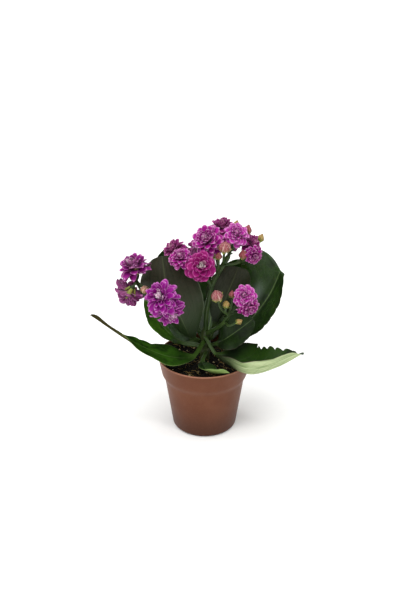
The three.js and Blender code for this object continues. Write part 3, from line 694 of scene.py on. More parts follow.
leafShapes = {
    "leaf_front_left_upright": {
        "spine": [(-3.9, -1.2, 61), (-8, -9.5, 67.5), (-14.5, -18, 86), (-22.5, -17, 105),
                  (-25.5, -11, 122.5)],
        "face": [(0.1, 0.8, 0.6), (-0.1, 0.9, 0.35)],
        "width": (17.5, 19), "fold": (6, 6), "cup": 30, "petiole": 0.1, "widest": (1.4, 1.4),
        "teeth": ((9, 0.25), (9, 0.5)), "ripple": 0.3, "under": (paint(50, 49, 35), paint(38, 42, 25)),
        # its pale margin is partly its own colour and partly a painted highlight where the thick edge
        # catches light
        "underLow": paint(30, 50, 16), "margin": paint(104, 114, 92), "tipEdge": 1.0,
        "ribs": (0.2, 0.1),
    },
    "leaf_back_left": {
        "spine": [(-1.8, 4.2, 61.5), (-8.5, 15.5, 71), (-16.8, 24.5, 91.5), (-20.3, 27, 114.5)],
        "face": [(0.2, -0.9, 0.4), (0.15, -0.95, 0.3)],
        "width": (16.5, 21), "fold": (8, 8), "cup": 10, "petiole": 0.14, "widest": (1.6, 1.25),
        "teeth": ((8, 1.2), (8, 1.2)), "ripple": 0.8,
    },
    "leaf_left_outer": {
        "spine": [(-4.3, 0.9, 56), (-14, 4, 56), (-25, 6.5, 64), (-33.5, 9, 76), (-36.5, 11, 93)],
        "face": [(0.2, -0.5, 0.8), (0.55, -0.7, 0.45)],
        "width": (14, 13), "fold": (36, 34), "teeth": ((8, 0.5), (8, 0.6)), "ripple": 0.5,
        "upper": (paint(76, 122, 28), paint(54, 92, 24)), "margin": paint(104, 130, 50), "heart": 0.2,
    },
    "leaf_right_tall": {
        "spine": [(4.3, 0.9, 56), (13, 4, 57), (28, 6, 70), (41, 9, 87), (48, 12, 103)],
        "face": [(-0.2, -0.6, 0.8), (-0.5, -0.7, 0.5)],
        "width": (25, 17.5), "fold": (30, 32), "cup": 6, "sweep": (20, 0), "petiole": 0.14,
        "widest": (2.3, 1.05), "teeth": ((9, 0.3), (10, 1.0)), "ripple": 0.4,
        "paintedSheen": (-0.3, 0.2, 0.25, 0.8), "shine": 0.35, "gloss": 0.3,
    },
    "leaf_centre_right": {
        "spine": [(3.9, -0.9, 63.5), (7.5, -1.5, 76), (14.5, -0.5, 95), (20.5, -2, 111.5)],
        "face": [(-0.2, 0.85, 0.4), (-0.1, 0.95, 0.3)],
        "width": (15, 11.5), "fold": (8, 8), "cup": 22, "petiole": 0.16, "widest": (1.4, 1.4),
        "teeth": ((8, 0.3), (8, 0.3)), "ripple": 0.3, "under": (paint(48, 50, 34), paint(38, 42, 24)),
        "underLow": paint(26, 40, 16), "margin": paint(70, 84, 56), "ribs": (0.2, 0.1),
    },
    "leaf_right_middle": {
        "spine": [(3.9, -2.1, 57.5), (11, -6.8, 63), (21, -9.4, 72), (30, -8.6, 79.5)],
        "face": [(-0.2, -0.5, 0.85), (-0.4, -0.75, 0.55)],
        "width": (12, 11), "fold": (18, 18), "petiole": 0.16, "widest": (1.05, 1.05),
        "teeth": ((7, 0.6), (7, 0.6)), "ripple": 0.3, "upper": (paint(30, 50, 16), paint(18, 32, 10)),
    },
    "leaf_front_right_low": {
        "spine": [(1.7, -4.3, 62.5), (6.5, -11.5, 57), (16, -19.5, 52.8), (28, -26.5, 51.4),
                  (44, -30.5, 58.5), (59.5, -31, 68)],
        "face": [(0.3, -0.1, 1), (-0.1, 0, 1)],
        "width": (20.5, 15), "fold": (26, 50), "cup": 6, "petiole": 0.15, "widest": (0.64, 0.9),
        "ends": (0.94, 1), "teeth": ((11, 3.3), (9, 0.4)), "ripple": 0.5,
        "under": (paint(184, 198, 148), paint(116, 142, 84)), "underLow": paint(34, 52, 20),
        "lowEnd": 0.46, "edge": 1.0, "heart": 0.3,
    },
    "leaf_front_left_low": {
        "spine": [(-1.2, -4.3, 60), (-8, -13, 55), (-22, -16.5, 57), (-41, -16.5, 65.5),
                  (-70, -13, 84.5)],
        "face": [(-0.1, -0.25, 1), (0.5, 0.62, 0.6)],
        "width": (15, 11), "fold": (0, 8), "cup": 4, "petiole": 0.12, "widest": (1.05, 0.8),
        "ends": (1, 0.8), "teeth": ((10, 0.7), (9, 3.0)),
        "upper": (paint(50, 88, 22), paint(22, 42, 12)),
        "under": (paint(74, 78, 44), paint(56, 54, 34)), "margin": paint(150, 176, 104),
        "tip": paint(52, 48, 26), "shine": 0.0,
    },
    "leaf_front_small": {
        "spine": [(0.4, -4.5, 52.5), (-1.5, -13, 51), (4, -22.5, 50), (15, -26, 51.3)],
        "face": [(-0.1, 0.3, 1), (-0.3, 0.75, 0.6)],
        "width": (5, 5), "fold": (10, 10), "cup": 10, "petiole": 0.25, "teeth": ((5, 0.2), (5, 0.2)),
        "ripple": 0.2, "under": (paint(140, 168, 96), paint(104, 132, 66)),
        "margin": paint(120, 146, 84),
    },
    "leaf_left_young": {
        "spine": [(-4.4, 0.4, 59.5), (-11, -2.2, 63), (-18, -5.6, 69), (-23, -8.6, 76)],
        "face": [(0.3, -0.5, 0.8), (0.5, -0.5, 0.6)],
        "width": (5, 5), "fold": (18, 18), "widest": (1.1, 1.1), "teeth": ((4, 0.2), (4, 0.2)),
        "ripple": 0.1, "upper": (paint(74, 96, 66), paint(52, 74, 42)),
    },
    "leaf_right_low_back": {
        "spine": [(3.6, 3, 54.2), (14, 10, 53.4), (30.5, 21, 59.5), (46, 30, 71)],
        "face": [(-0.1, -0.1, 1), (-0.35, -0.35, 0.9)],
        "width": (15, 15), "fold": (20, 20), "teeth": ((8, 0.9), (8, 0.9)),
    },
    "leaf_left_low_back": {
        "spine": [(-3.2, 3.5, 54.8), (-13.5, 13.5, 53.5), (-24.5, 28.5, 57.5), (-32, 43, 66)],
        "face": [(0.1, -0.1, 1), (0.2, -0.35, 0.9)],
        "width": (13, 13), "fold": (18, 18), "widest": (0.95, 0.95),
    },
    "leaf_back_upright": {
        "spine": [(2.3, 4, 60), (10, 14, 67), (19, 22, 84), (25, 25, 105)],
        "face": [(-0.1, -0.8, 0.6), (-0.1, -0.95, 0.3)],
        "width": (17, 17), "fold": (12, 12), "cup": 10, "petiole": 0.16, "widest": (1.1, 1.1),
    },
    "leaf_back_low": {
        "spine": [(0.6, 4.6, 50.8), (1.5, 15, 50.9), (4, 33, 56.5), (7, 51, 65)],
        "face": [(0, -0.1, 1), (-0.1, -0.35, 0.9)],
        "width": (13.5, 13.5), "fold": (16, 16), "petiole": 0.22,
    },
}
leafForm = {
    "steps": 120,
    "halfSteps": 11,
    "petioleHalfWidth": 1.5,
    "petioleThickness": 2.2,
    "bladeThickness": 1.3,
    "marginThickness": 0.6,
    "tipBluntness": 0.55,
    "midribGroove": 0.3,
    "midribRidge": 0.5,
    "midribWidth": 0.9,
    "toothStart": 0.3,
    "toothFade": 0.12,
    "tipThinning": 0.6,
    "rippleWaves": 3.3,
    "swellHeight": 0.25,
    "swellWaves": 5.5,
    "rootDepth": 1.2,
}


def leafGrid(leaf):
    # upper and lower grids of points, with [across, along, upper] for each point
    form = leafForm
    steps = np.arange(form["steps"] + 1) / form["steps"]
    t = np.sin(math.pi / 2 * steps)
    centre, tangent = smoothPath(leaf["spine"], t)
    faceStem, faceTip = (np.array(face, float) for face in leaf["face"])
    face = faceStem + (faceTip - faceStem) * t[:, None]
    side = np.cross(tangent, face)
    side /= np.linalg.norm(side, axis=1, keepdims=True)
    normal = np.cross(side, tangent)
    along = np.clip((t - leaf["petiole"]) / (1 - leaf["petiole"]), 0, 1)
    blades = []
    for widest, end in zip(leaf["widest"], leaf["ends"]):
        wave = np.sin(math.pi * np.clip(along / end, 0, 1) ** widest)
        blades.append(np.maximum(wave, 0) ** (1 - form["tipBluntness"] * along))
    fullest = (blades[0] + blades[1]) / 2
    if leaf["ends"] != usualLeaf["ends"]:
        fullest = np.maximum(*blades)
    openness = smoothStep(fullest, 0, 0.5)
    middle = form["petioleThickness"] + (form["bladeThickness"] - form["petioleThickness"]) * openness
    taper = 1 - form["tipThinning"] * along**2
    count = form["halfSteps"]
    places, marks, rises = [], [], []
    for column in range(-count, count + 1):
        share = math.sin(math.pi / 2 * abs(column) / count)
        half = 0 if column < 0 else 1
        blade = blades[half]
        reach = (form["petioleHalfWidth"] * taper + leaf["width"][half] * blade) * share
        teeth, depth = leaf["teeth"][half]
        scallop = np.abs(np.sin(math.pi * (along * teeth + 0.3 * half))) ** 0.55 - 1
        toothed = smoothStep(along, form["toothStart"], form["toothStart"] + form["toothFade"])
        toothed = toothed * smoothStep(blade, 0, 0.5)
        reach = reach + depth * scallop * toothed * share**9
        lift = np.radians(leaf["fold"][half] + leaf["cup"] * share / 2) * openness
        thickness = (middle + (form["marginThickness"] - middle) * share) * taper
        thickness = thickness * math.sqrt(max(1 - share**10, 0))
        thickness[-1] = 0
        sweep = leaf["sweep"][half] * share * blade * along**2
        ripple = leaf["ripple"] * share**2 * openness
        ripple = ripple * np.sin(2 * math.pi * (form["rippleWaves"] * along + 0.4 * half))
        swell = form["swellHeight"] * share * (1 - share) * openness
        swell = swell * np.sin(2 * math.pi * (form["swellWaves"] * along - 1.2 * share))
        point = centre + side * (math.copysign(1, column) * reach * np.cos(lift))[:, None]
        point = point + normal * (reach * np.sin(lift) + ripple + swell)[:, None]
        point = point + tangent * sweep[:, None]
        rib = np.exp(-(reach / form["midribWidth"]) ** 2) * openness * (1 - along**3)
        groove = form["midribGroove"] * rib
        ridge = form["midribRidge"] * rib
        rises.append((thickness / 2 - groove, thickness / 2 + ridge))
        places.append(point)
        marks.append(np.stack([np.full_like(t, math.copysign(share, column)), along], axis=1))
    grids = []
    for upper in (1, 0):
        rise = [pair[0] if upper else -pair[1] for pair in rises]
        grid = np.stack([p + normal * r[:, None] for p, r in zip(places, rise)], axis=1)
        mark = np.stack([np.hstack([m, np.full((len(t), 1), upper)]) for m in marks], axis=1)
        # the stalk runs on into the stem, and both ends are closed on their middle
        reachBack = -tangent[0] * (np.linalg.norm(centre[0][:2]) - form["rootDepth"])
        root = grid[:1] + reachBack
        tip = np.repeat(grid[-1:].mean(axis=1, keepdims=True), grid.shape[1], axis=1)
        base = np.repeat(root.mean(axis=1, keepdims=True), grid.shape[1], axis=1)
        closedGrid = np.concatenate([base, root, grid, tip])
        closedMark = np.concatenate([mark[:1], mark[:1], mark, mark[-1:]])
        grids.append((closedGrid, closedMark))
    return grids


def leafSkin(name, leaf):
    upperBase, upperShade = leaf["upper"]
    underBase, underShade = leaf["under"]
    veinBelow, midribBelow = leaf["ribs"]
    material, bench, shader, coordinates = newSkin(
        name + "_skin", specular=leaf["shine"], subsurface=0.04, subsurfaceDepth=1.5)
    across, along, upper = bench.split(bench.attribute("leafPlace", "Vector"))
    edge = bench.math("ABSOLUTE", across)
    cloud = bench.noise(coordinates, 110, 3, 0.55)
    pores = bench.noise(coordinates, 1100, 2)
    # side veins run forward from the midrib
    waver = bench.times(bench.noise(coordinates, 60, 2), 0.8)
    phase = bench.minus(bench.times(along, 7.0), bench.times(edge, 2.2))
    phase = bench.math("FRACT", bench.plus(phase, waver))
    line = bench.math("ABSOLUTE", bench.minus(phase, 0.5))
    vein = bench.fade(line, 0.0, 0.09, 1.0, 0.0)
    vein = bench.times(vein, bench.fade(edge, 0.35, 0.95, 1.0, 0.0))
    midrib = bench.fade(edge, 0.008, 0.035, 1.0, 0.0)
    top = bench.mix(bench.fade(cloud, 0.35, 0.68), upperBase, upperShade)
    top = bench.mix(bench.times(vein, 0.16), top, paint(64, 88, 44))
    top = bench.mix(bench.times(midrib, 0.55), top, paint(104, 128, 74))
    lengthwise = bench.join(bench.times(across, 9.0), bench.times(along, 2.5))
    streak = bench.noise(lengthwise, 1.6, 3)
    below = bench.mix(bench.fade(streak, 0.35, 0.7), underBase, underShade)
    if leaf["underLow"]:
        low = bench.fade(along, 0.2, leaf["lowEnd"], 0.85, 0.0)
        below = bench.mix(low, below, leaf["underLow"])
    below = bench.mix(bench.times(vein, veinBelow), below, underShade)
    below = bench.mix(bench.times(midrib, midribBelow), below, paint(150, 170, 110))
    if leaf["paintedSheen"]:
        # painted highlight: a pale sheen streak beside the midrib
        middle, width, start, end = leaf["paintedSheen"]
        away = bench.math("ABSOLUTE", bench.minus(across, middle))
        paintedSheenMask = bench.times(bench.fade(away, 0.0, width, 1.0, 0.0), bench.fade(along, start, start + 0.15))
        paintedSheenMask = bench.times(paintedSheenMask, bench.fade(along, end - 0.2, end, 0.6, 0.0))
        top = bench.mix(paintedSheenMask, top, paint(112, 130, 112))
    colour = bench.mix(upper, below, top)
    towardsTip = bench.fade(along, 0.6, 0.85, 1.0, leaf["tipEdge"])
    margin = bench.times(bench.fade(edge, 0.945, 0.99), towardsTip)
    colour = bench.mix(bench.times(margin, leaf["edge"]), colour, leaf["margin"])
    if leaf["tip"]:
        colour = bench.mix(bench.fade(along, 0.66, 0.8, 0.0, 0.9), colour, leaf["tip"])
    # painted shade: the blade darkens towards the stem, where the leaves crowd
    heart = bench.fade(along, 0.05, leaf["heart"], 0.65, 0.0)
    colour = bench.mix(heart, colour, paint(14, 24, 9))
    stalk = bench.fade(along, 0.0, 0.1, 1.0, 0.0)
    colour = bench.mix(bench.times(stalk, 0.7), colour, paint(60, 84, 34))
    bench.plug(shader.inputs["Base Color"], colour)
    rough = bench.blend(upper, 0.5, leaf["gloss"])
    rough = bench.plus(rough, bench.times(bench.minus(cloud, 0.5), 0.25))
    bench.plug(shader.inputs["Roughness"], rough)
    relief = bench.plus(bench.times(pores, 0.25), bench.times(vein, -0.5))
    relief = bench.plus(relief, bench.times(cloud, 1.2))
    bump(bench, shader, relief, 0.5, 0.35)
    return material


for name, own in leafShapes.items():
    leaf = {**usualLeaf, **own}
    vertices, marks, faces = [], [], []
    for grid, mark in leafGrid(leaf):
        faces += gridFaces(*grid.shape[:2], offset=len(vertices))
        vertices += list(grid.reshape(-1, 3) * mm)
        marks += list(mark.reshape(-1, 3))
    piece = newPiece(name + "_blade", meshFrom(name, vertices, faces, "leafPlace", marks))
    piece.data.materials.append(leafSkin(name, leaf))
    settle(piece, "leaf", name)
print("leaves")


# flower stalks: limbs and pedicels, with sepals and bracts
# limbs are [stalk, foot radius, end radius, points]
limbs = {
    "centre": ("flower_stalk_centre", 1.6, 1.3, [
        (0.5, -0.8, 66), (1.4, -4.4, 84), (4.4, -6, 101), (9, -6, 111), (14.5, -4, 120)]),
    "leftTwig": ("flower_stalk_centre", 1.15, 0.9, [
        (4.2, -6, 100.5), (1, -7.5, 106), (-5, -9.5, 113)]),
    "rightTwig": ("flower_stalk_centre", 1.15, 0.9, [
        (11.3, -5.3, 114.5), (17, -4.8, 114.8), (22, -4.6, 116.5)]),
    "backTwig": ("flower_stalk_centre", 1.15, 0.9, [
        (11.3, -5.3, 114.5), (14, 1, 117.5), (17, 7.5, 121)]),
    "left": ("flower_stalk_left", 1.5, 1.15, [
        (-2.0, 0.7, 65.5), (-3.7, 1.4, 66.5), (-12, 3.5, 79), (-26, 1, 91.5), (-40, -5.5, 101.5),
        (-40.5, -22.5, 111)]),
    "right": ("flower_stalk_right", 1.5, 1.15, [
        (1.5, -1.8, 66), (2.7, -3.1, 67.4), (7, -8, 72.5), (11.5, -14, 79.5), (14.5, -19, 88)]),
}

# flowers are [limb, fork, at, face, radius, look]. fork is the share of the limb where the pedicel
# leaves it, at is the middle of the flower, and look names its petals' shape and colour.
flowers = {
    "flower_top_back": ("backTwig", 1, (11, 15.5, 132), (-0.1, -0.15, 1), 7.6, "deep"),
    "flower_top_left": ("centre", 0.8, (1.2, -8, 132.4), (-0.35, -0.65, 0.7), 9.8, "full"),
    "flower_top_right": ("centre", 1, (18.8, -5, 134.8), (0.1, -0.65, 0.75), 8.2, "soft"),
    "flower_centre": ("leftTwig", 0.5, (-2.1, -24, 121.8), (0.05, -0.85, 0.55), 9.6, "cupped"),
    "flower_left_back": ("leftTwig", 1, (-19.1, -3, 124.2), (-0.5, -0.3, 0.8), 7, "deep"),
    "flower_left_front": ("leftTwig", 1, (-14.4, -17.5, 124.6), (-0.15, -0.5, 0.85), 7.2, "full"),
    "flower_right_upper": ("rightTwig", 1, (28.7, -1.8, 127.4), (0.6, -0.5, 0.6), 6.2, "deep"),
    "flower_right_lower": ("rightTwig", 0.8, (30, -8, 121.6), (0.5, -0.85, -0.1), 6, "full"),
    "flower_front_left_upper": ("left", 1, (-25.6, -43, 110.7), (-0.3, -0.7, 0.65), 10, "loose"),
    "flower_front_left_lower": ("left", 0.96, (-20, -42, 100.5), (0.45, -0.8, -0.35), 9.4, "loose"),
    "flower_far_left_upper": ("left", 1, (-41.6, -22, 120.6), (-0.35, -0.15, 0.9), 9.2, "open"),
    "flower_far_left_lower": ("left", 0.93, (-45, -26, 105), (-0.5, 0.1, -0.8), 8.8, "open"),
    "flower_right_front_upper": ("right", 1, (23.4, -22, 102), (-0.1, -0.7, 0.7), 7.4, "soft"),
    "flower_right_front_lower": ("right", 0.96, (26.2, -24, 95), (0.35, -0.9, -0.25), 7.2, "full"),
    "flower_back_left": ("centre", 0.78, (-4, 12, 120), (-0.5, 0.75, 0.45), 8.4, "full"),
    "flower_back_right": ("backTwig", 0.6, (17, 20, 122), (0.2, 0.9, 0.4), 8.4, "full"),
}

# buds are [limb, fork, at, face, radius, length, look]
buds = {
    "bud_top": ("backTwig", 1, (19.3, 8.5, 135), (0.15, 0.1, 1), 2.6, 5.8, "green"),
    "bud_top_right": ("backTwig", 0.8, (26.2, 9, 132), (0.3, 0.1, 1), 2.7, 6, "red"),
    "bud_far_right": ("rightTwig", 1, (34.4, 6.5, 127.6), (0.5, 0.2, 0.9), 2.2, 5, "green"),
    "bud_middle_open": ("centre", 0.88, (11.7, -13.5, 129.8), (0.05, -0.35, 0.95), 3.7, 7.4, "pink"),
    "bud_middle_pale": ("centre", 0.78, (4.6, -8.4, 123.4), (-0.15, -0.3, 1), 2.6, 6, "cream"),
    "bud_middle_small": ("centre", 0.74, (8.2, -13.5, 123.9), (0, -0.3, 1), 2, 4.8, "red"),
    "bud_right_red": ("rightTwig", 0.9, (22.9, -8.2, 122.8), (-0.1, -0.3, 1), 2.7, 6, "red"),
    "bud_left_cream": ("left", 1, (-35.1, -30.5, 110), (0.1, -0.5, 0.8), 2.3, 5.6, "cream"),
    "bud_front_pink": ("right", 0.93, (6.9, -26, 104), (-0.25, -0.3, 1), 3.5, 7.4, "pink"),
    "bud_front_green": ("right", 0.97, (12.7, -25, 97.8), (0.05, -0.3, 1), 2.1, 4.8, "green"),
    "bud_front_back": ("right", 1, (16.2, -19, 101.6), (0, -0.1, 1), 1.9, 4.6, "red"),
    "bud_spent": ("right", 0.72, (20.7, -26, 86.6), (0.7, -0.3, 0.5), 1.8, 4, "green"),
}
flowerForm = {
    "height": 8.2,
    "referenceRadius": 9.5,
    "pedicelRadius": 0.72,
    "receptacleRadius": 1.25,
    "sepalLength": 5.4,
    "budReferenceRadius": 3.2,
    "budCalyx": 0.75,
    "openCalyx": 1.42,
    "gap": 0.3,
    "bendShare": 0.4,
    "bendLimit": 6,
    "bractLength": 4.2,
}


def unit(direction):
    return np.array(direction, float) / np.linalg.norm(direction)


def flowerFoot(at, face, radius):
    back = flowerForm["height"] * radius / flowerForm["referenceRadius"] / 2
    return np.array(at, float) - unit(face) * back


def budFoot(at, face, length):
    return np.array(at, float) - unit(face) * length / 2


def pedicelPoints(limb, fork, foot, face):
    start = smoothPath(limbs[limb][3], [fork])[0][0]
    end = foot - unit(face) * flowerForm["gap"]
    bend = min(flowerForm["bendShare"] * np.linalg.norm(end - start), flowerForm["bendLimit"])
    under = end - unit(face) * bend
    return [start, under, end]


def addStem(curve, points, radii, steps):
    # one smooth spline; radii are [share, radius] pairs
    shares = np.linspace(0, 1, steps)
    places, _ = smoothPath(points, shares)
    spline = curve.splines.new("POLY")
    spline.points.add(steps - 1)
    thick = np.interp(shares, [r[0] for r in radii], [r[1] for r in radii])
    for point, place, radius in zip(spline.points, places, thick):
        point.co = (*(place * mm), 1)
        point.radius = radius * mm


def stemTree():
    # round stem along each spline, as thick as the spline's radius says
    tree, bench, given = newTree("roundStem", {"Sides": "Int", "Skin": "Material"})
    section = bench.add("GeometryNodeCurvePrimitiveCircle", {"Resolution": given["Sides"], "Radius": 1.0})
    stem = bench.add("GeometryNodeCurveToMesh", {
        "Curve": given["Geometry"], "Profile Curve": section,
        "Scale": bench.add("GeometryNodeInputRadius"), "Fill Caps": True})
    smooth = bench.add("GeometryNodeSetShadeSmooth", {"Geometry": stem})
    closeTree(bench, smooth, given["Skin"])
    return tree


def stemSkin(name, base, shade, blush):
    material, bench, shader, coordinates = newSkin(name, roughness=0.45, specular=0.35)
    cloud = bench.noise(coordinates, 180, 3)
    colour = bench.mix(bench.fade(cloud, 0.35, 0.7), base, shade)
    spots = bench.fade(bench.noise(coordinates, 700, 2), 0.6, 0.72)
    colour = bench.mix(bench.times(spots, 0.3), colour, blush)
    bench.plug(shader.inputs["Base Color"], colour)
    bump(bench, shader, bench.noise(coordinates, 900, 3), 0.3, 0.15)
    return material


def sepalShape():
    # fleshy pointed sepal, one unit long up +Z, its inner side towards -Y
    widths = {0: 0.13, 0.2: 0.19, 0.45: 0.2, 0.7: 0.14, 0.9: 0.06, 1: 0}

    def place(share, across, sign):
        width = widths[share]
        belly = 0.05 * (1 - across**2) * (1 - share**3)
        curve = 0.12 * share**2 - 0.1 * across**2 * width
        return across * width, curve - 0.1 * across**2 * 0.3 + sign * belly, share

    return patch("sepalShape", widths, (-1, -0.5, 0, 0.5, 1), place)


def ringTree():
    # a ring of sepals at every point, standing along the point's aim
    inputs = {"Sepal": "Object", "Count": "Int", "Lean": "Float", "Ring Radius": "Float",
              "Skin": "Material", "Seed": "Int"}
    tree, bench, given = newTree("sepalRing", inputs)
    row = bench.add("GeometryNodeMeshLine", {"Count": given["Count"], "Offset": (0, 0, 0)})
    index = bench.add("GeometryNodeInputIndex").outputs[0]
    spin = bench.times(index, bench.math("DIVIDE", 2 * math.pi, given["Count"]))
    ringPoints = bench.add("GeometryNodeSetPosition", {
        "Geometry": row, "Position": bench.around(spin, given["Ring Radius"])})
    tilt = bench.minus(bench.random(-0.15, 0.15, given["Seed"]), given["Lean"])
    ring = bench.add("GeometryNodeInstanceOnPoints", {
        "Points": ringPoints, "Instance": bench.shape(given["Sepal"]),
        "Rotation": bench.turn(tilt, 0.0, spin)})
    aim = bench.add("GeometryNodeInputNamedAttribute", {"Name": "aim"}, data_type="FLOAT_VECTOR")
    size = bench.add("GeometryNodeInputNamedAttribute", {"Name": "size"}, data_type="FLOAT")
    stand = bench.add("FunctionNodeAlignRotationToVector", {"Vector": aim.outputs[0]}, axis="Z")
    twist = bench.turn(z=bench.random(0.0, 2 * math.pi, given["Seed"]))
    pose = bench.add("FunctionNodeRotateRotation", {0: stand, 1: twist}, rotation_space="LOCAL")
    rings = bench.add("GeometryNodeInstanceOnPoints", {
        "Points": given["Geometry"], "Instance": ring, "Rotation": pose, "Scale": size.outputs[0]})
    closeTree(bench, rings, given["Skin"])
    return tree


def aimedPoints(name, rows):
    # loose points, each with an aim and a size
    mesh = bpy.data.meshes.new(name)
    mesh.from_pydata([tuple(np.array(place) * mm) for place, _, _ in rows], [], [])
    aim = mesh.attributes.new("aim", "FLOAT_VECTOR", "POINT")
    aim.data.foreach_set("vector", np.array([unit(face) for _, face, _ in rows], np.float32).ravel())
    size = mesh.attributes.new("size", "FLOAT", "POINT")
    size.data.foreach_set("value", np.array([s * mm for _, _, s in rows], np.float32))
    return newPiece(name, mesh)


roundStem = stemTree()
sepalRing = ringTree()
sepalObject = newPiece("sepalShape", sepalShape())
stalkSkin = stemSkin("stalkGreen", paint(40, 62, 22), paint(56, 76, 32), paint(74, 58, 36))
calyxSkin = stemSkin("calyxGreen", paint(120, 136, 52), paint(168, 170, 84), paint(160, 120, 80))
form = flowerForm
for stalk in ("flower_stalk_centre", "flower_stalk_left", "flower_stalk_right"):
    curve = bpy.data.curves.new(stalk, "CURVE")
    curve.dimensions = "3D"
    flowerRings, budRings, bracts = [], [], []
    for owner, footRadius, endRadius, points in limbs.values():
        if owner == stalk:
            swollen = endRadius * 1.25
            radii = ((0, footRadius), (0.6, endRadius), (0.97, swollen), (1, endRadius))
            addStem(curve, points, radii, 48)
    carried = []
    for limb, fork, at, face, radius, look in flowers.values():
        size = radius / form["referenceRadius"] * (form["openCalyx"] if look == "open" else 1)
        carried.append((limb, fork, flowerFoot(at, face, radius), face, size, flowerRings))
    for limb, fork, at, face, radius, length, _ in buds.values():
        size = radius / form["budReferenceRadius"] * form["budCalyx"]
        carried.append((limb, fork, budFoot(at, face, length), face, size, budRings))
    for limb, fork, foot, face, size, rings in carried:
        if limbs[limb][0] != stalk:
            continue
        path = pedicelPoints(limb, fork, foot, face)
        cup = form["receptacleRadius"] * max(size, 0.6)
        addStem(curve, path, ((0, 1.0), (0.15, form["pedicelRadius"]), (0.8, form["pedicelRadius"]),
                              (0.93, cup), (1, cup * 0.9)), 22)
        rings.append((path[2] - unit(face) * 0.6 * size, face, form["sepalLength"] * size))
        if fork < 1:
            bracts.append((path[0], path[1] - path[0], form["bractLength"]))
    stems = runTree(newPiece(stalk, curve), roundStem, {"Sides": 14, "Skin": stalkSkin}, stalk + "_stems")
    settle(stems, "stem", stalk)
    ringSets = (
        ("sepals", flowerRings, 0.5, 4, 0.22, calyxSkin),
        ("bud_sepals", budRings, 0.6, 4, 0.44, calyxSkin),
        ("bracts", bracts, 0.55, 1, 0.1, stalkSkin),
    )
    for label, rows, lean, count, ringRadius, skin in ringSets:
        piece = runTree(aimedPoints(stalk + label, rows), sepalRing, {
            "Sepal": sepalObject, "Count": count, "Lean": lean, "Ring Radius": ringRadius,
            "Skin": skin, "Seed": 11}, stalk + "_" + label)
        settle(piece, "stem", stalk)
bpy.data.objects.remove(sepalObject)

mainStem = {
    "points": [(0.3, 0.2, 40), (0.1, 0, 50), (0, 0, 58), (0.5, -0.8, 69)],
    "radii": ((0, 3.4), (0.3, 3.0), (0.44, 3.3), (0.52, 2.9), (0.62, 3.1), (0.7, 2.6), (0.8, 2.8),
              (0.9, 2.3), (1, 1.7)),  # swollen where leaves have grown
}
trunk = bpy.data.curves.new("main_stem", "CURVE")
trunk.dimensions = "3D"
addStem(trunk, mainStem["points"], mainStem["radii"], 60)
trunkSkin = stemSkin("trunkGreen", paint(60, 72, 34), paint(48, 58, 26), paint(78, 62, 42))
trunkValues = {"Sides": 28, "Skin": trunkSkin}
trunkPiece = runTree(newPiece("main_stem", trunk), roundStem, trunkValues, "main_stem_trunk")
settle(trunkPiece, "stem", "main_stem")
print("stems, sepals and bracts")


# flowers: rosettes of petals on a spiral
# width and length are shares of the flower's radius; lean is from the flower's axis, in degrees
petalLooks = {
    "full": {"count": 76, "outerLean": 98, "innerLean": 12, "outerLength": 0.97, "innerLength": 0.58,
             "width": 0.6, "point": 0.0, "body": paint(154, 14, 128), "edge": paint(250, 190, 234),
             "back": paint(160, 44, 132), "heart": paint(244, 200, 224)},
    "soft": {"count": 64, "outerLean": 96, "innerLean": 12, "outerLength": 0.94, "innerLength": 0.48,
             "width": 0.68, "point": 0.0, "body": paint(172, 44, 150), "edge": paint(250, 196, 236),
             "back": paint(178, 72, 152), "heart": paint(244, 196, 222)},
    "deep": {"count": 70, "outerLean": 98, "innerLean": 12, "outerLength": 1.02, "innerLength": 0.66,
             "width": 0.58, "point": 0.05, "body": paint(128, 10, 100), "edge": paint(236, 158, 208),
             "back": paint(138, 36, 106), "heart": paint(226, 164, 192)},
    "cupped": {"count": 48, "outerLean": 98, "innerLean": 26, "outerLength": 0.98, "innerLength": 0.3,
               "width": 0.84, "point": 0.05, "body": paint(136, 4, 96), "edge": paint(226, 110, 186),
               "back": paint(150, 26, 116), "heart": paint(255, 246, 242), "heartStart": 0.7},
    "loose": {"count": 76, "outerLean": 106, "innerLean": 14, "outerLength": 1.08, "innerLength": 0.58,
              "width": 0.5, "point": 0.14, "body": paint(136, 4, 126), "edge": paint(234, 158, 222),
              "back": paint(152, 40, 136), "heart": paint(255, 234, 242), "heartStart": 0.72,
              "untidy": 1.6},
    "open": {"count": 60, "outerLean": 98, "innerLean": 20, "outerLength": 1.0, "innerLength": 0.78,
             "width": 0.66, "point": 0.04, "body": paint(134, 8, 118), "edge": paint(246, 170, 230),
             "back": paint(108, 26, 82), "heart": paint(250, 214, 232), "untidy": 1.6},
}
whorls = 6  # petal shapes from the outermost to the innermost


def petalShape(look, whorl):
    # petal one unit long up +Z, its upper side towards -Y; later whorls curl inwards
    inner = whorl / (whorls - 1)
    draw = random.Random(whorl * 31 + int(look["width"] * 100))
    rows = (0, 0.22, 0.42, 0.6, 0.76, 0.89, 0.97, 1)
    shoulder = 0.58  # share of the length where the end starts to round off
    curl = math.radians(34 - 84 * inner)
    width = look["width"] * (0.5 - 0.14 * inner)
    phase = draw.uniform(0, 6)

    def place(share, across, sign):
        bend = curl * share
        height = share if abs(curl) < 1e-3 else math.sin(bend) / curl
        out = 0.0 if abs(curl) < 1e-3 else (1 - math.cos(bend)) / curl
        neck = 0.38 + 0.62 * smoothStep(share, 0.05, 0.6)
        end = max(share - shoulder, 0) / (1 - shoulder)
        fullness = math.sqrt(max(1 - end**2, 0))
        pointed = 1 - smoothStep(share, 0.55, 1.0)
        half = width * neck * (fullness * (1 - look["point"]) + pointed * look["point"])
        cup = -(0.18 + 0.3 * inner) * across**2 * half
        crease = 0.03 * abs(across) * share
        wave = 0.07 * across**2 * math.sin(9 * share + phase + 2 * across) * share
        skin = 0.014 * (1 - across**2) * sign
        return across * half, out + cup + crease + wave - skin, height

    return patch("petal", rows, (-1, -0.55, 0, 0.55, 1), place, "petalPlace")


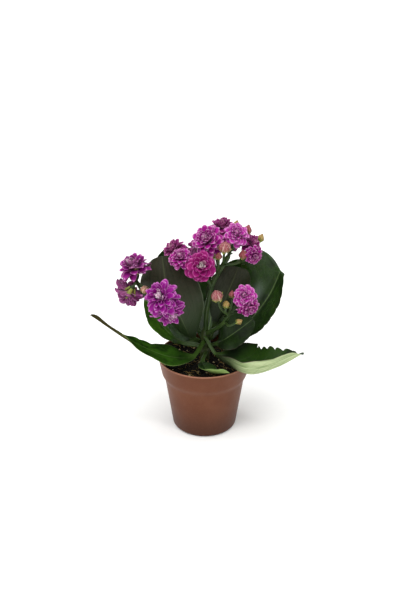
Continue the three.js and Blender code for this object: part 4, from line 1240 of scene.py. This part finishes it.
def rosetteTree():
    # petals on a golden-angle spiral, from a wide outer whorl to an upright heart, on a short tube
    inputs = {"Petals": "Collection", "Count": "Int", "Radius": "Float", "Height": "Float",
              "Outer Lean": "Float", "Inner Lean": "Float", "Outer Length": "Float",
              "Inner Length": "Float", "Untidy": "Float", "Skin": "Material", "Seed": "Int"}
    tree, bench, given = newTree("petalRosette", inputs)

    def scattered(low, high, shift):
        number = bench.random(low, high, bench.plus(given["Seed"], shift))
        return bench.times(number, given["Untidy"])

    row = bench.add("GeometryNodeMeshLine", {"Count": given["Count"], "Offset": (0, 0, 0)})
    index = bench.add("GeometryNodeInputIndex").outputs[0]
    share = bench.math("DIVIDE", index, bench.minus(given["Count"], 1))
    spin = bench.plus(bench.times(index, goldenAngle), scattered(-0.22, 0.22, 1))
    radius = bench.times(given["Radius"], bench.blend(share, 0.15, 0.02))
    height = bench.times(given["Height"], bench.blend(share, 0.26, 0.4))
    points = bench.add("GeometryNodeSetPosition", {
        "Geometry": row, "Position": bench.around(spin, radius, height)})
    inward = bench.math("POWER", share, 0.9)
    lean = bench.blend(inward, given["Outer Lean"], given["Inner Lean"])
    lean = bench.plus(lean, scattered(-0.16, 0.16, 2))
    turn = bench.turn(bench.times(lean, -1.0), scattered(-0.2, 0.2, 3), spin)
    length = bench.blend(share, given["Outer Length"], given["Inner Length"])
    length = bench.times(length, bench.plus(1.0, scattered(-0.12, 0.08, 4)))
    size = bench.times(given["Radius"], length)
    shapes = bench.add("GeometryNodeCollectionInfo", {
        "Collection": given["Petals"], "Separate Children": True, "Reset Children": True})
    which = bench.math("FLOOR", bench.times(share, whorls - 0.01))
    petals = bench.add("GeometryNodeInstanceOnPoints", {
        "Points": points, "Instance": shapes, "Pick Instance": True, "Instance Index": which,
        "Rotation": turn, "Scale": size})
    marked = bench.add("GeometryNodeStoreNamedAttribute", {
        "Geometry": petals, "Name": "whorl", "Value": share}, data_type="FLOAT", domain="INSTANCE")
    tubeTop = bench.times(given["Radius"], 0.2)
    tubeHeight = bench.times(given["Height"], 0.34)
    tube = bench.add("GeometryNodeMeshCone", {
        "Vertices": 14, "Side Segments": 3, "Radius Top": tubeTop,
        "Radius Bottom": bench.times(tubeTop, 0.6), "Depth": tubeHeight})
    smooth = bench.add("GeometryNodeSetShadeSmooth", {"Geometry": bench.gather(marked, tube)})
    closeTree(bench, smooth, given["Skin"])
    return tree


def petalSkin(name, look):
    # soft petal: deep body with painted shade at the petal bases, fine streaks, pale margin and reverse,
    # pale heart
    material, bench, shader, coordinates = newSkin("petals_" + name, roughness=0.6, specular=0.15,
                                                   subsurface=0.08, subsurfaceDepth=0.5, sheen=0.05)
    whorl = bench.attribute("whorl", "Fac")
    across, along, upper = bench.split(bench.attribute("petalPlace", "Vector"))
    edge = bench.math("ABSOLUTE", across)
    lengthwise = bench.join(bench.times(across, 7.0), bench.times(along, 1.3), whorl)
    streak = bench.noise(lengthwise, 1.5, 3)
    cloud = bench.noise(coordinates, 260, 2)
    rim = bench.math("MAXIMUM", bench.fade(edge, 0.7, 0.95), bench.fade(along, 0.85, 0.98))
    rim = bench.times(rim, bench.fade(streak, 0.3, 0.7, 0.1, 1.0))
    face = bench.mix(bench.times(rim, 0.9), look["body"], look["edge"])
    dark = tuple(0.4 * channel for channel in look["body"][:3]) + (1.0,)
    # painted shade: the petal faces darken towards their bases, deep in the rosette; the streaks are the
    # petal's own
    face = bench.mix(bench.fade(along, 0.15, 0.6, 0.85, 0.0), face, dark)
    face = bench.mix(bench.fade(streak, 0.55, 0.8, 0.0, 0.35), face, dark)
    back = bench.mix(bench.fade(streak, 0.35, 0.75, 0.0, 0.45), look["back"], look["edge"])
    back = bench.mix(bench.fade(along, 0.0, 0.35, 0.6, 0.0), back, paint(190, 176, 120))
    colour = bench.mix(upper, back, face)
    heartStart = look.get("heartStart", 0.8)
    heart = bench.fade(whorl, heartStart, heartStart + 0.16, 0.0, 0.85)
    colour = bench.mix(heart, colour, look["heart"])
    clouded = bench.times(bench.math("SUBTRACT", cloud, 0.4, True), 0.6)
    colour = bench.mix(clouded, colour, look["body"])
    bench.plug(shader.inputs["Base Color"], colour)
    bump(bench, shader, streak, 0.35, 0.2)
    return material


rosette = rosetteTree()
petalSets = {}
for look, values in petalLooks.items():
    group = bpy.data.collections.new("petals_" + look)
    for whorl in range(whorls):
        shape = bpy.data.objects.new(f"{look}_{whorl}", petalShape(values, whorl))
        group.objects.link(shape)
    petalSets[look] = (group, petalSkin(look, values))

for count, (name, (_, _, at, face, radius, look)) in enumerate(flowers.items()):
    values = petalLooks[look]
    group, skin = petalSets[look]
    height = flowerForm["height"] * radius / flowerForm["referenceRadius"]
    piece = runTree(newPiece(name, bpy.data.meshes.new(name)), rosette, {
        "Petals": group, "Count": values["count"], "Radius": radius * mm, "Height": height * mm,
        "Outer Lean": math.radians(values["outerLean"]),
        "Inner Lean": math.radians(values["innerLean"]),
        "Outer Length": values["outerLength"], "Inner Length": values["innerLength"],
        "Untidy": values.get("untidy", 1.0), "Skin": skin, "Seed": 20 + count}, name + "_petals")
    piece.data.transform(aimed(flowerFoot(at, face, radius), face, count * 1.1))
    settle(piece, "petal", name)
for group, _ in petalSets.values():
    for shape in list(group.objects):
        bpy.data.objects.remove(shape)
    bpy.data.collections.remove(group)
print("flowers")


# buds: overlapping petals wrapped round a closed heart

budLooks = {
    "pink": {"tip": paint(132, 52, 64), "base": paint(124, 116, 56), "streak": paint(226, 178, 168)},
    "cream": {"tip": paint(158, 98, 90), "base": paint(136, 134, 64), "streak": paint(232, 214, 170)},
    "green": {"tip": paint(150, 112, 66), "base": paint(98, 110, 40), "streak": paint(176, 172, 92)},
    "red": {"tip": paint(130, 48, 62), "base": paint(104, 96, 44), "streak": paint(196, 130, 116)},
}
budForm = {"petals": 5, "span": 62, "twist": 34, "overlap": 0.14}


def budPetal():
    # petal patch on an egg of unit radius and height, one edge over its neighbour and one under
    def place(share, across, sign):
        girth = math.sin(math.pi * min(0.12 + 0.86 * share, 1) ** 0.86)
        narrow = math.cos(0.42 * math.pi * share) ** 0.6
        angle = math.radians(budForm["span"] * across * narrow + budForm["twist"] * share)
        radius = girth * (1 + budForm["overlap"] * across) + 0.04
        radius += 0.03 * (1 - across**2) * sign
        return radius * math.sin(angle), radius * math.cos(angle), share

    rows = (0, 0.15, 0.32, 0.5, 0.66, 0.8, 0.92, 1)
    return patch("budPetal", rows, (-1, -0.5, 0, 0.5, 1), place, "petalPlace")


def budTree():
    # two whorls of wrapped petals round an egg-shaped heart
    inputs = {"Petal": "Object", "Radius": "Float", "Length": "Float", "Skin": "Material",
              "Seed": "Int"}
    tree, bench, given = newTree("wrappedBud", inputs)
    petals = budForm["petals"]
    row = bench.add("GeometryNodeMeshLine", {"Count": 2 * petals, "Offset": (0, 0, 0)})
    index = bench.add("GeometryNodeInputIndex").outputs[0]
    innerWhorl = bench.math("GREATER_THAN", index, petals - 0.5)
    spin = bench.times(index, 2 * math.pi / petals)
    spin = bench.plus(spin, bench.times(innerWhorl, 0.6))
    wide = bench.times(given["Radius"], bench.blend(innerWhorl, 0.92, 0.74))
    tall = bench.times(given["Length"], bench.blend(innerWhorl, 0.96, 1.02))
    tall = bench.times(tall, bench.random(0.96, 1.04, given["Seed"]))
    wrapped = bench.add("GeometryNodeInstanceOnPoints", {
        "Points": row, "Instance": bench.shape(given["Petal"]), "Rotation": bench.turn(z=spin),
        "Scale": bench.join(wide, wide, tall)})
    heart = bench.add("GeometryNodeMeshUVSphere", {"Segments": 16, "Rings": 10, "Radius": 0.5})
    slim = bench.times(given["Radius"], 1.3)
    placed = bench.add("GeometryNodeTransform", {
        "Geometry": heart, "Translation": bench.join(z=bench.times(given["Length"], 0.46)),
        "Scale": bench.join(slim, slim, bench.times(given["Length"], 0.9))})
    smooth = bench.add("GeometryNodeSetShadeSmooth", {"Geometry": bench.gather(wrapped, placed)})
    closeTree(bench, smooth, given["Skin"])
    return tree


def budSkin(name, look):
    material, bench, shader, coordinates = newSkin("bud_" + name, roughness=0.5, specular=0.3,
                                                   subsurface=0.1, subsurfaceDepth=0.8)
    across, along, _ = bench.split(bench.attribute("petalPlace", "Vector"))
    lengthwise = bench.join(bench.times(across, 5.0), bench.times(along, 1.2))
    streak = bench.noise(lengthwise, 2.0, 3)
    colour = bench.mix(bench.fade(along, 0.12, 0.62), look["base"], look["tip"])
    colour = bench.mix(bench.fade(streak, 0.48, 0.68, 0.0, 0.75), colour, look["streak"])
    colour = bench.mix(bench.fade(across, 0.55, 1.0, 0.0, 0.8), colour, look["streak"])
    # painted shade: the petal edge tucked under its neighbour is darkened, as in the gaps between petals
    dark = tuple(0.3 * channel for channel in look["tip"][:3]) + (1.0,)
    colour = bench.mix(bench.fade(across, -0.95, -0.25, 1.0, 0.0), colour, dark)
    bench.plug(shader.inputs["Base Color"], colour)
    bump(bench, shader, bench.noise(coordinates, 1200, 2), 0.25, 0.12)
    return material


wrappedBud = budTree()
budPetalObject = newPiece("budPetal", budPetal())
budSkins = {name: budSkin(name, look) for name, look in budLooks.items()}
for count, (name, (_, _, at, face, radius, length, look)) in enumerate(buds.items()):
    piece = runTree(newPiece(name, bpy.data.meshes.new(name)), wrappedBud, {
        "Petal": budPetalObject, "Radius": radius * mm, "Length": length * mm,
        "Skin": budSkins[look], "Seed": 60 + count}, name + "_petals")
    piece.data.transform(aimed(budFoot(at, face, length), face, count * 0.9))
    settle(piece, "bud", name)
bpy.data.objects.remove(budPetalObject)
print("buds")

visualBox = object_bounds()
boxes = {"cad": cadBox, "visual": visualBox}
{name: [list(corner) for corner in box] for name, box in boxes.items()}
